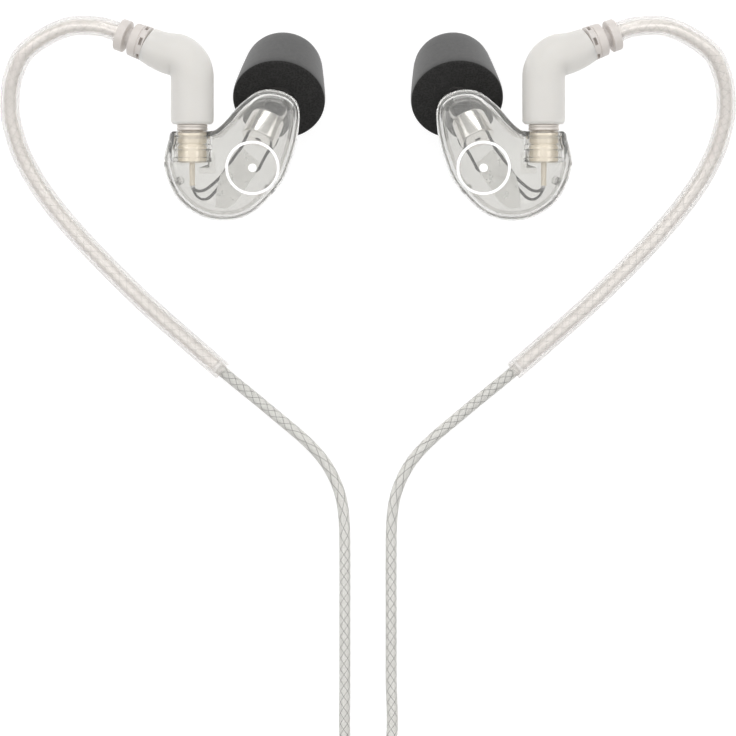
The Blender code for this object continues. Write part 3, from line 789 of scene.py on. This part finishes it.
def cut_mesh(me, cutters, name, op='DIFFERENCE'):
    """The mesh with closed cutter meshes taken out of it."""
    ob = bpy.data.objects.new(name + "_work", me)
    bpy.context.scene.collection.objects.link(ob)
    tools = []
    for k, c in enumerate(cutters):
        t = bpy.data.objects.new(name + "_cut%d" % k, c)
        bpy.context.scene.collection.objects.link(t)
        tools.append(t)
        md = ob.modifiers.new("cut%d" % k, 'BOOLEAN')
        md.operation = op
        md.solver = 'EXACT'
        md.object = t
    bpy.context.view_layer.update()
    dg = bpy.context.evaluated_depsgraph_get()
    out = bpy.data.meshes.new_from_object(ob.evaluated_get(dg))
    out.name = name
    for t in tools + [ob]:
        bpy.data.objects.remove(t, do_unlink=True)
    return out


def lathe_mesh(name, prof, at, along, steps=64, round_r=0.0):
    B = Build()
    lathe_into(B, prof, at, along, steps, round_r)
    me = B.mesh(name)
    bm = bmesh.new()
    bm.from_mesh(me)
    bmesh.ops.remove_doubles(bm, verts=bm.verts, dist=5e-7)
    bmesh.ops.recalc_face_normals(bm, faces=bm.faces)
    bm.to_mesh(me)
    bm.free()
    return me


def prism(B, pts, z0, z1, s, mat=0):
    a = B.ring([Vector((s * u, v, z0)) for u, v in pts])
    b = B.ring([Vector((s * u, v, z1)) for u, v in pts])
    B.bridge(a, b, mat)
    B.cap(a, mat, True)
    B.cap(b, mat)


GREY_CLEAR = clear_plastic("grey_clear", [0.86, 0.86, 0.85], 0.3, 1.49, clear=0.45)


def earpiece(tag, s):
    body = "earpiece_" + tag

    def w(u, v, z):
        return Vector((s * u, v, z))

    def d(u, v, z):
        return Vector((s * u, v, z)).normalized()

    n = d(*TIP_N)
    tip0 = w(*TIP_AT)
    bore = [(0.0001, 6.0), (3.02, 6.0), (3.02, -2.85), (0.0001, -2.85)]
    top = shell_mesh("faceplate_" + tag, s, TOPS, PART_Z, 1.0, 0.0)
    window = Build()
    prism(window, [(AXIS_U - 3.02, 5.35), (AXIS_U + 3.02, 5.35), (AXIS_U + 3.02, 14.0),
                   (AXIS_U - 3.02, 14.0)], AXIS_Z - 0.2, 26.0, s)
    top = cut_mesh(top, [lathe_mesh("c1" + tag, bore, w(AXIS_U, 8.2, AXIS_Z), UP, 48)],
                   "faceplate_" + tag)
    top = cut_mesh(top, [window.mesh("window_" + tag)], "faceplate_" + tag)
    ob = add("faceplate_" + tag, top, CLEAR, body, "outer_shell_" + tag, slot="clear_shell",
             smooth=38)
    low = shell_mesh("inner_half_" + tag, s, LOWS, PART_Z - 0.06, -1.0, 0.0)
    low = cut_mesh(low, [lathe_mesh("c2" + tag, bore, w(AXIS_U, 8.2, AXIS_Z), UP, 48),
                         lathe_mesh("c3" + tag, [(0.0001, 4.0), (2.05, 4.0), (2.05, -2.4), (0.0001, -2.4)],
                                    tip0, n, 48)],
                   "inner_half_" + tag)
    add("inner_half_" + tag, low, CLEAR, body, "inner_shell_" + tag, slot="clear_shell",
        smooth=38)
    lathe("nozzle_stem_" + tag, [
        (1.0, 8.0), (1.45, 8.0), (1.45, 7.2), (1.36, 7.1), (1.36, 6.6), (1.45, 6.5),
        (1.45, 0.4), (2.0, -0.3), (2.02, -1.9), (1.0, -2.3)],
        tip0, n, CLEAR_STEM, body, steps=72, round_r=0.06)
    mesh_B = Build()
    q = n.to_track_quat('Z', 'Y')
    c = tip0 + n * 7.6
    lathe_into(mesh_B, [(0.0001, 0.06), (0.92, 0.06), (0.92, -0.06), (0.0001, -0.06)], c, n, 36, 0.0)
    add("nozzle_mesh_disc_" + tag, mesh_B.mesh("nozzle_mesh_disc_" + tag), MESHMAT, body,
        "nozzle_mesh_" + tag, slot="steel")

    # printed ring and dot on the faceplate
    bv = BVHTree.FromPolygons([tuple(v.co) for v in top.vertices],
                              [tuple(p.vertices) for p in top.polygons])
    B = Build()

    def on_top(u, v):
        hit = bv.ray_cast(Vector((s * u * MM, v * MM, 0.05)), Vector((0, 0, -1)))
        z = hit[0].z / MM if hit[0] is not None else TOP_Z
        return z
    mu, mv = 17.3, 4.5

    def strip(r0, r1, steps, radial):
        rows_lo, rows_hi = [], []
        for j in range(radial + 1):
            r = r0 + (r1 - r0) * j / radial
            pts = [(mu + r * math.cos(2 * math.pi * k / steps),
                    mv + r * math.sin(2 * math.pi * k / steps)) for k in range(steps)]
            rows_hi.append(B.ring([w(u, v, on_top(u, v) + 0.035) for u, v in pts]))
            rows_lo.append(B.ring([w(u, v, on_top(u, v) + 0.004) for u, v in pts]))
        for a, b in zip(rows_hi, rows_hi[1:]):
            B.bridge(a, b)
        for a, b in zip(rows_lo, rows_lo[1:]):
            B.bridge(a, b)
        B.bridge(rows_hi[0], rows_lo[0])
        B.bridge(rows_hi[-1], rows_lo[-1])
    strip(3.66, 4.05, 96, 2)
    strip(0.02, 0.62, 32, 2)
    add("print_mark_" + tag, B.mesh("print_mark_" + tag), INK, body, smooth=60)

    # moulded details inside the clear halves
    B = Build()
    L = [(22.85, 6.9), (22.85, 3.7), (25.3, 3.7), (25.3, 4.55), (23.75, 4.55), (23.75, 6.9)]
    prism(B, L, 15.6, 19.6, s)
    prism(B, [(27.3, 5.0), (30.0, 5.0), (30.0, 5.35), (27.3, 5.35)], 15.4, 19.6, s)
    lathe_into(B, [(0.28, 19.8), (0.62, 19.8), (0.62, 14.4), (0.28, 14.4)],
               w(28.2, 2.6, 0.0), (0, 0, 1), 36, 0.05)
    lathe_into(B, [(0.0001, 19.7), (0.4, 19.7), (0.4, 14.6), (0.0001, 14.6)],
               w(14.9, 1.5, 0.0), (0, 0, 1), 28, 0.05)
    lathe_into(B, [(2.3, -0.02), (3.0, -0.02), (3.0, -0.7), (2.76, -0.8), (2.76, -1.95),
                   (3.0, -2.05), (3.0, -2.75), (2.76, -2.85), (2.76, -3.9), (3.0, -4.0),
                   (3.0, -4.6), (2.3, -4.7)],
               w(AXIS_U, 10.05, AXIS_Z), UP, 64, 0.06)
    add("shell_ribs_" + tag, B.mesh("shell_ribs_" + tag), CLEAR_RIB, body, smooth=35)
    B = Build()
    lip = [[Vector((s * p.x, p.y, z)) for p in inset(RING, d_)]
           for d_, z in ((0.85, 18.3), (1.2, 18.3), (1.2, 20.0), (0.85, 20.0))]
    rows = [B.ring(r) for r in lip]
    for a_, b_ in zip(rows, rows[1:] + rows[:1]):
        B.bridge(a_, b_)
    me = cut_mesh(B.mesh("lip_" + tag),
                  [lathe_mesh("c4" + tag, [(0.0001, 6.0), (3.1, 6.0), (3.1, -6.0), (0.0001, -6.0)],
                              w(AXIS_U, 8.2, AXIS_Z), UP, 48)], "shell_lip_" + tag)
    add("shell_lip_" + tag, me, CLEAR_RIB, body, smooth=35)
    B = Build()
    prism(B, [(18.6, 7.3), (20.8, 4.9), (22.15, 3.45), (22.7, 1.0), (22.9, -1.4),
              (21.2, -1.7), (19.6, -0.4), (17.2, 3.2), (16.2, 5.2)], 18.2, 19.0, s)
    add("driver_carrier_" + tag, B.mesh("driver_carrier_" + tag), GREY_CLEAR, body,
        "driver_holder_" + tag, smooth=35)

    # driver
    a = d(-0.38, 0.84, -0.39)
    can_c = w(15.75, 10.45, AXIS_Z - 0.9)
    lathe("driver_shell_" + tag, [
        (0.45, -1.95), (2.58, -1.95), (2.72, -1.8), (2.72, 1.8), (2.64, 1.95), (1.95, 1.95),
        (1.95, 1.65), (2.42, 1.65), (2.42, -1.65), (0.45, -1.65)],
        can_c, a, STEEL, body, "driver_can_" + tag, slot="steel", steps=96, round_r=0.07)
    lathe("driver_magnet_v_" + tag, [(0.0001, 0.2), (1.7, 0.2), (1.7, -1.35), (0.0001, -1.35)],
          can_c, a, MAGNET, body, "driver_magnet_" + tag, slot="magnet", steps=48)
    lathe("voice_coil_v_" + tag, [(1.05, 0.95), (1.3, 0.95), (1.3, 0.4), (1.05, 0.4)],
          can_c, a, COPPER, body, "voice_coil_" + tag, slot="copper", steps=48, round_r=0.04)
    lathe("diaphragm_v_" + tag, [
        (0.0001, 1.5), (0.6, 1.46), (1.2, 1.38), (1.45, 1.3), (1.6, 1.34), (1.8, 1.4), (2.1, 1.35),
        (2.1, 1.2), (1.8, 1.25), (1.6, 1.18), (1.45, 1.14), (1.2, 1.22), (0.6, 1.3), (0.0001, 1.34)],
        can_c, a, FILM, body, "driver_diaphragm_" + tag, slot="film", steps=48, round_r=0.03)

    # socket and contact
    at = w(AXIS_U, 9.75, AXIS_Z)
    lathe("socket_v_" + tag, [
        (1.6, 0.0), (2.15, 0.0), (2.15, -1.5), (1.98, -1.6), (1.98, -1.95), (2.15, -2.05),
        (2.15, -4.3),
        (2.0, -4.45), (0.75, -4.45), (0.75, -3.9), (1.6, -3.9)],
        at, UP, BEIGE_GOLD, body, "mmcx_socket_" + tag, slot="gold", steps=72, round_r=0.06)
    lathe("socket_contact_v_" + tag, [
        (0.0001, -3.0), (0.3, -3.0), (0.3, -4.0), (0.42, -4.75), (0.42, -7.9), (0.0001, -7.9)],
        at, UP, BEIGE_GOLD, body, "mmcx_contact_" + tag, slot="gold", steps=36, round_r=0.05)

    wa = even(spline_through([
        w(26.3, 1.62, 17.7), w(26.05, 1.3, 17.7), w(25.4, 1.05, 17.7), w(24.5, 1.25, 17.6),
        w(23.3, 2.1, 17.6), w(22.1, 3.25, 17.5), w(20.9, 4.95, 17.2), w(19.9, 6.45, 17.0),
        w(19.1, 7.5, 16.9), w(18.5, 8.75, 16.9), w(18.0, 9.7, 16.7)], per=10), step=0.12)
    wb = even(spline_through([
        w(26.3, 1.5, 17.1), w(26.1, 0.9, 17.0), w(25.7, 0.2, 16.9), w(24.95, -0.22, 16.9),
        w(24.0, -0.02, 16.8), w(22.9, 1.05, 16.7), w(21.5, 2.6, 16.6), w(18.6, 3.55, 16.5),
        w(16.5, 4.3, 16.5), w(16.0, 5.2, 16.5), w(14.9, 7.1, 16.4), w(13.9, 8.1, 16.3),
        w(13.5, 9.0, 16.4)], per=10), step=0.12)
    sweep_flat("wire_upper_" + tag, wa, 0.23, WIRE, body, "wire_a_" + tag, sides=12, slot="wire_enamel")
    sweep_flat("wire_lower_" + tag, wb, 0.23, WIRE, body, "wire_b_" + tag, sides=12, slot="wire_enamel")
    B = Build()
    for p, r in ((w(26.32, 1.7, 17.62), 0.34), (w(26.34, 1.45, 17.15), 0.3)):
        bm = bmesh.new()
        bmesh.ops.create_icosphere(bm, subdivisions=3, radius=r)
        base = len(B.v)
        B.v.extend(p + v.co for v in bm.verts)
        for f in bm.faces:
            B.f.append(tuple(base + v.index for v in f.verts))
            B.m.append(0)
        bm.free()
    add("solder_" + tag, B.mesh("solder_" + tag), SOLDER, body, smooth=180)

    # foam tip and core tube
    tip_body = "ear_tip_" + tag
    foam = lathe("foam_" + tag, [
        (2.35, 12.0), (3.4, 12.0), (4.0, 11.8), (4.5, 11.5), (4.95, 11.1), (5.35, 10.6),
        (5.65, 9.9), (5.87, 9.0), (6.1, 7.45), (6.33, 5.9), (6.52, 4.5), (6.72, 3.0),
        (6.9, 1.5), (6.96, 0.8), (6.95, 0.35), (6.87, 0.1), (6.7, 0.0), (4.5, 0.0), (2.35, 0.0)],
        tip0, n, FOAMS, tip_body, "foam_tip_" + tag, slot="foam", steps=120, round_r=0.12,
        smooth=50)
    foam.data.materials.append(FOAM_SKIN)
    for pg in foam.data.polygons:
        c = pg.center / MM - tip0
        h = c.dot(n)
        if h > 0.25 and (c - n * h).length > 2.6:
            pg.material_index = 1
    lathe("core_tube_" + tag, [
        (1.6, 11.0), (2.15, 11.0), (2.15, 0.5), (1.6, 0.5)],
        tip0, n, CORE_RUBBER, tip_body, "tip_core_" + tag, slot="core_rubber", steps=72)


# ---- the cable side of each connector ---------------------------------------
def cable_side(tag, s):
    body = "cable_set"

    def w(u, v, z):
        return Vector((s * u, v, z))

    def d(u, v, z):
        return Vector((s * u, v, z)).normalized()

    at = w(AXIS_U, 10.75, AXIS_Z)
    lathe("plug_v_" + tag, [
        (0.55, 3.6), (1.75, 3.6), (1.75, 0.42), (2.05, 0.36), (2.3, 0.22), (2.3, 0.02),
        (2.22, -0.06), (2.22, -0.16), (2.3, -0.24), (2.3, -0.5), (2.2, -0.62),
        (1.15, -0.7), (1.15, -2.15), (1.0, -2.2),
        (1.0, -2.75), (1.15, -2.8), (1.15, -3.9), (0.55, -3.9)],
        at, UP, PLUG_SHELL, body, "mmcx_plug_" + tag, slot="gold", steps=72, round_r=0.05)
    lathe("plug_pin_v_" + tag, [(0.0001, 3.4), (0.3, 3.4), (0.3, -2.9), (0.15, -3.3), (0.0001, -3.3)],
          at, UP, GOLD, body, "mmcx_pin_" + tag, slot="gold", steps=28, round_r=0.04)
    ring_pts = []
    for k in range(57):
        t = math.radians(15 + 330 * k / 56)
        ring_pts.append(w(AXIS_U, 8.28, AXIS_Z) + Vector((1.3 * math.cos(t), 0.0, 1.3 * math.sin(t))))
    sweep_flat("snap_ring_v_" + tag, ring_pts, 0.13, SPRING, "swivel_" + tag, "snap_ring_" + tag,
               sides=12, slot="spring_steel")

    # elbow: barrel, bend, arm, as one hollow moulding
    arm = d(*ARM_DIR)
    corner = w(AXIS_U, ELBOW_CORNER, AXIS_Z)
    turn = math.acos(max(-1.0, min(1.0, arm.y)))
    tl = ELBOW_BEND * math.tan(turn / 2)
    p0 = corner - UP * tl
    side = (arm - UP * arm.y).normalized()
    centre = p0 + side * ELBOW_BEND
    low_side = (UP - arm * arm.y).normalized()
    line, rad = [], []
    for v, r in ((ELBOW_LOW, ELBOW_R - 0.40), (ELBOW_LOW + 0.06, ELBOW_R - 0.28),
                 (ELBOW_LOW + 0.38, ELBOW_R - 0.03), (ELBOW_LOW + 0.5, ELBOW_R),
                 (12.4, ELBOW_R), (13.2, ELBOW_R), (14.0, ELBOW_R), (15.0, ELBOW_R),
                 (16.0, ELBOW_R)):
        if v < p0.y - 0.2:
            line.append(w(AXIS_U, v, AXIS_Z))
            rad.append(r)
    for k in range(0, 25):
        t = turn * k / 24
        line.append(centre - side * (ELBOW_BEND * math.cos(t)) + UP * (ELBOW_BEND * math.sin(t)))
        rad.append(ELBOW_R)
    h0 = tl
    for h in (3.2, 4.0, 4.6, 5.2, 5.8, 6.3, 6.7, 7.0, 7.2, 7.3, ARM_START):
        if h > h0 + 0.1:
            f = (h - h0) / (ARM_START - h0)
            line.append(corner + arm * h - low_side * (0.24 * math.sin(math.pi * f)))
            rad.append(ELBOW_R - 0.56 * f ** 1.25 - (0.06 if h == ARM_START else 0.0))
    fr = frames_along(line)
    B = Build()
    outer = sweep_into(B, line, 0, 64, caps=False, radii=rad, frames=fr)
    inner = sweep_into(B, line, 0, 64, caps=False, radii=[r - 1.1 for r in rad], frames=fr)
    B.bridge(outer[0], inner[0])
    B.bridge(outer[-1], inner[-1])
    add("elbow_v_" + tag, B.mesh("elbow_v_" + tag), FROST, body, "elbow_housing_" + tag,
        slot="frosted_plastic", smooth=40)

    # ribbed collar with its small windows
    base = corner + arm * ARM_START
    prof = [(1.05, 4.8), (2.2, 4.8), (2.36, 4.74), (2.42, 4.6), (2.44, 3.5), (2.36, 3.42),
            (1.5, 3.38), (1.42, 3.3), (1.42, 2.58), (1.5, 2.5), (2.44, 2.46), (2.52, 2.38),
            (2.6, 1.2), (2.48, 1.14), (2.48, 1.06), (2.62, 1.0), (2.64, 0.14),
            (2.4, 0.08), (1.35, 0.06), (1.35, -2.6), (1.05, -2.6)]
    me = lathe_mesh("collar_" + tag, prof, base, arm, 72, 0.03)
    q = arm.to_track_quat('Z', 'Y')
    cutters = []
    C = Build()
    for k in range(6):
        ang = math.radians(60 * k + 30)
        R = q.to_matrix() @ Matrix.Rotation(ang, 3, 'Z')
        for (h, width, deep, height) in ((0.56, 1.15, 1.85, 0.5),):
            base_i = len(C.v)
            for dx in (-0.5, 0.5):
                for dy in (-0.5, 0.5):
                    for dz in (-0.5, 0.5):
                        C.v.append(base + R @ Vector((deep + 0.75 + dx * 1.5, dy * width, h + dz * height)))
            idx = [(0, 1, 3, 2), (4, 6, 7, 5), (0, 4, 5, 1), (2, 3, 7, 6), (0, 2, 6, 4), (1, 5, 7, 3)]
            for f in idx:
                C.f.append(tuple(base_i + i for i in f))
                C.m.append(0)
    cutters.append(C.mesh("collar_slots_" + tag))
    me = cut_mesh(me, cutters, "collar_v_" + tag)
    add("collar_v_" + tag, me, BEIGE, body, "strain_relief_" + tag, slot="beige_plastic", smooth=35)

    # hook: clear tube over a pearly core
    whole = [base + arm * 4.7] + hook_line(s)
    dense = cut_ends(whole, 0.0, 0.3)
    tube_line = even(smooth_line(dense, 2), step=0.45)
    fr = frames_along(tube_line)
    B = Build()
    rr = [HOOK_R] * len(tube_line)
    rr[-1] -= 0.08
    outer = sweep_into(B, tube_line, HOOK_R, 40, caps=False, radii=rr, frames=fr)
    ri = [0.95] * len(tube_line)
    inner = sweep_into(B, tube_line, 0.8, 40, caps=False, radii=ri, frames=fr)
    B.bridge(outer[0], inner[0])
    B.bridge(outer[-1], inner[-1])
    add("hook_tube_v_" + tag, B.mesh("hook_tube_v_" + tag), CLEAR_TUBE, body,
        "ear_hook_tube_" + tag, slot="hook_tube", smooth=60)
    core_line = even([base + arm * 3.0] + cut_ends(dense, 0.0, 1.0), step=0.45)
    for k, turn in enumerate((1.0, -1.0)):
        strands("hook_braid%d_%s" % (k, tag), core_line, 4, 0.895, 0.035,
                lambda q, t=turn: t * 6.2, SEAM_SOFT, body, sides=5, step=0.42, phase=0.4 * k)
    B = Build()
    sweep_into(B, core_line, 0.90, 32)
    add("hook_core_v_" + tag, B.mesh("hook_core_v_" + tag, False), PEARL, body,
        "hook_core_" + tag, slot="cord_jacket", smooth=180)


# ---- slider, splitter, tie, plug --------------------------------------------
def cable_fittings():
    mid = -129.02
    B = Build()
    box_into(B, (11.0, 6.6, 4.2), (47.5, mid, 2.2), bevel=1.2, seg=5)
    me = B.mesh("splitter_v")
    cutters = []
    for k, (y, r, x0, x1) in enumerate(((-130.1, 0.9, 38.0, 44.0), (-127.95, 0.9, 38.0, 44.0),
                                        (mid, 1.2, 51.0, 60.0))):
        cutters.append(lathe_mesh("cs%d" % k, [(0.0001, x1), (r, x1), (r, x0), (0.0001, x0)],
                                  (0.0, y, 2.2), (1, 0, 0), 32))
    me = cut_mesh(me, cutters, "splitter_v")
    add("splitter_v", me, FROST, "cable_set", "y_splitter", slot="frosted_plastic", smooth=35)
    B = Build()
    box_into(B, (6.0, 6.4, 4.0), (29.0, mid, 2.2), bevel=0.9, seg=5)
    me = B.mesh("slider_v")
    cutters = [lathe_mesh("cl%d" % k, [(0.0001, 36.0), (1.06, 36.0), (1.06, 22.0), (0.0001, 22.0)],
                          (0.0, y, 2.2), (1, 0, 0), 32) for k, y in enumerate((-130.1, -127.95))]
    me = cut_mesh(me, cutters, "slider_v")
    add("slider_v", me, FROST, "slider", "chin_slider", slot="frosted_plastic", smooth=35)
    B = Build()
    for k in range(3):
        box_into(B, (0.5, 5.2, 0.28), (27.6 + 1.4 * k, mid, 4.24), bevel=0.12, seg=2)
    add("slider_grips", B.mesh("slider_grips"), FROST, "slider", smooth=35)

    B = Build()
    box_into(B, (11.6, 4.0, 9.9), (25.5, CY, 5.0), bevel=0.5, seg=3)
    me = B.mesh("tie_v")
    H = Build()
    box_into(H, (10.4, 8.0, 8.6), (25.5, CY, 4.98), bevel=0.4, seg=2)
    me = cut_mesh(me, [H.mesh("tie_hole")], "tie_v")
    add("tie_v", me, DARK_RUBBER, "cable_set", "cable_tie", slot="dark_rubber", smooth=35)

    at, back = (-49.0, -129.6, 3.4), (1.0, 0.0, 0.0)
    relief = [(1.25, 27.6), (1.5, 27.6), (1.62, 27.45)]
    h = 26.9
    while h > 19.4:
        r = 1.62 + (2.4 - 1.62) * (27.4 - h) / 9.0
        relief += [(r, h), (r, h - 0.55), (r - 0.28, h - 0.6), (r - 0.28, h - 0.9)]
        h -= 0.95
    relief += [(2.35, 19.1), (2.4, 18.35), (1.25, 18.35)]
    lathe("relief_v", relief, at, back, DARK_RUBBER, "cable_set", "jack_relief",
          slot="dark_rubber", steps=48, round_r=0.06)
    knurl = [(1.3, 18.0), (2.75, 18.0), (3.0, 17.85), (3.25, 17.4)]
    for k in range(5):
        z = 15.6 - k * 0.9
        knurl += [(3.25, z), (3.12, z - 0.08), (3.12, z - 0.3), (3.25, z - 0.38)]
    knurl += [(3.25, 0.9), (3.1, 0.35), (2.75, 0.0), (1.88, 0.0), (1.88, 0.5), (1.3, 0.5)]
    lathe("housing_v", knurl, at, back, PLUGMETAL, "cable_set", "jack_housing",
          slot="plug_metal", steps=96, round_r=0.08)
    lathe("insulator_v", [
        (0.0001, -2.0), (0.8, -2.0), (0.8, -8.6), (1.75, -8.6), (1.75, -9.1),
        (0.8, -9.1), (0.8, -10.3), (1.75, -10.3), (1.75, -10.8), (0.0001, -10.8)],
        at, back, BLACK, "cable_set", "jack_insulator", slot="black_plastic", steps=48,
        round_r=0.03)
    lathe("sleeve_v", [
        (1.0, 9.0), (1.12, 9.0), (1.12, -0.3), (1.75, -0.35), (1.75, -8.4), (1.0, -8.4)],
        at, back, GOLD, "cable_set", "jack_sleeve", slot="gold", steps=64, round_r=0.04)
    lathe("ring_v", [(1.0, -9.3), (1.75, -9.3), (1.75, -10.1), (1.0, -10.1)],
          at, back, GOLD, "cable_set", "jack_ring", slot="gold", steps=64, round_r=0.03)
    lathe("tip_v", [
        (0.0001, -11.0), (1.75, -11.0), (1.75, -11.25), (1.38, -11.8), (1.42, -12.0),
        (1.7, -12.55), (1.7, -12.8), (1.2, -13.8), (0.55, -14.2), (0.0001, -14.3)],
        at, back, GOLD, "cable_set", "jack_tip", slot="gold", steps=64, round_r=0.08)


def pearl_mat():
    """Pearly braid: a bright middle, broken up by the lay of the fibres."""
    m, nt, b, out = new_mat("pearl_core")
    vec = coords(nt)
    n = noise_tex(nt, 900.0, 3.0, vec=vec)
    nt.links.new(ramp(nt, n, [(0.35, [0.90, 0.87, 0.845]), (0.62, [1.0, 0.98, 0.955])]),
                 b.inputs["Base Color"])
    nt.links.new(grey_range(nt, noise_tex(nt, 1900.0, 3.0, vec=vec), 0.24, 0.36), b.inputs["Roughness"])
    b.inputs["Metallic"].default_value = 0.45
    bump(nt, noise_tex(nt, 1150.0, 2.0, vec=vec), 0.6, 0.00012, b)
    return m


PEARL = pearl_mat()
BEIGE_GOLD = metal("gold_pale", [0.85, 0.765, 0.63], [0.90, 0.82, 0.70], 0.44, 0.05)
# A faint warm glow on the pale gold is painted light that lifts the socket and contact.
BEIGE_GOLD.node_tree.nodes["Principled BSDF"].inputs["Emission Color"].default_value = (1.0, 0.9, 0.74, 1)
BEIGE_GOLD.node_tree.nodes["Principled BSDF"].inputs["Emission Strength"].default_value = 0.05
BEIGE_GOLD.node_tree.nodes["Principled BSDF"].inputs["Metallic"].default_value = 0.45
PLUG_SHELL = metal("plug_shell", [0.70, 0.655, 0.61], [0.78, 0.735, 0.69], 0.38, 0.05)
PLUG_SHELL.node_tree.nodes["Principled BSDF"].inputs["Metallic"].default_value = 0.5
MESHMAT = metal("mesh_steel", [0.5, 0.5, 0.5], [0.66, 0.66, 0.66], 0.35, 0.4)
CLEAR_RIB = clear_plastic("clear_rib", [0.90, 0.895, 0.88], 0.012, 1.52, clear=0.97)

for tag, s in (("left", -1), ("right", 1)):
    earpiece(tag, s)
    cable_side(tag, s)
cable_fittings()
for tag in ("left", "right", "main"):
    declare(tag)


# ---- stage, light, camera ---------------------------------------------------
def floor_mat():
    m, nt, b, out = new_mat("floor_white")
    n = noise_tex(nt, 40.0, 3.0)
    nt.links.new(ramp(nt, n, [(0.3, [0.34, 0.34, 0.34]), (0.7, [0.36, 0.36, 0.36])]),
                 b.inputs["Base Color"])
    b.inputs["Roughness"].default_value = 0.85
    b.inputs["Specular IOR Level"].default_value = 0.05
    b.inputs["Emission Color"].default_value = (1.0, 1.0, 1.0, 1.0)
    b.inputs["Emission Strength"].default_value = FLOOR_GLOW
    return m


FLOOR_GLOW = 0.78
me = bpy.data.meshes.new("floor")
me.from_pydata([(-1.6, -1.6, 0), (1.6, -1.6, 0), (1.6, 1.6, 0), (-1.6, 1.6, 0)], [], [(0, 1, 2, 3)])
floor = bpy.data.objects.new("floor", me)
bpy.context.scene.collection.objects.link(floor)
floor.data.materials.append(floor_mat())

world = bpy.data.worlds.new("studio")
bpy.context.scene.world = world
world.use_nodes = True
nt = world.node_tree
bg = nt.nodes["Background"]
tc = nt.nodes.new("ShaderNodeTexCoord")
sep = nt.nodes.new("ShaderNodeSeparateXYZ")
nt.links.new(tc.outputs["Generated"], sep.inputs[0])
r = nt.nodes.new("ShaderNodeValToRGB")
SKY = [(0.0, 0.12), (0.30, 0.20), (0.60, 0.42), (0.85, 0.78), (1.0, 1.0)]
e = r.color_ramp.elements
while len(e) < len(SKY):
    e.new(0.5)
for k, (at, v) in enumerate(SKY):
    e[k].position = at
    e[k].color = (v, v, v * 0.995, 1)
nt.links.new(sep.outputs["Z"], r.inputs[0])
nt.links.new(r.outputs[0], bg.inputs["Color"])
bg.inputs["Strength"].default_value = 1.35


def area(name, at, aim, size, power, colour=(1, 1, 1)):
    li = bpy.data.lights.new(name, 'AREA')
    li.shape = 'RECTANGLE'
    li.size, li.size_y = size
    li.energy = power
    li.color = colour
    ob = bpy.data.objects.new(name, li)
    bpy.context.scene.collection.objects.link(ob)
    ob.location = at
    ob.rotation_euler = (Vector(aim) - Vector(at)).to_track_quat('-Z', 'Y').to_euler()
    ob.visible_camera = False
    return ob


area("box_left", (-0.75, 0.10, 0.62), (0.0, 0.0, 0.0), (0.35, 0.9), 1.6)
area("box_right", (0.75, 0.10, 0.62), (0.0, 0.0, 0.0), (0.35, 0.9), 1.6)
area("box_back", (0.0, 0.85, 0.60), (0.0, 0.0, 0.0), (0.9, 0.3), 3.0)


cam_data = bpy.data.cameras.new("camera")
cam = bpy.data.objects.new("camera", cam_data)
bpy.context.scene.collection.objects.link(cam)
cam_data.sensor_width = 36.0
cam_data.lens = 36.0 * 2000.0 / 110.4
cam_data.clip_start = 0.1
cam_data.clip_end = 20.0
cam.location = (0.0, -0.02546, 2.0175)
cam.rotation_euler = (0.0, 0.0, 0.0)
bpy.context.scene.camera = cam
scene = bpy.context.scene
scene.view_settings.view_transform = 'Standard'
scene.view_settings.look = 'None'
scene.cycles.transparent_max_bounces = 24
scene.cycles.max_bounces = 24
scene.cycles.transmission_bounces = 20
scene.cycles.diffuse_bounces = 4
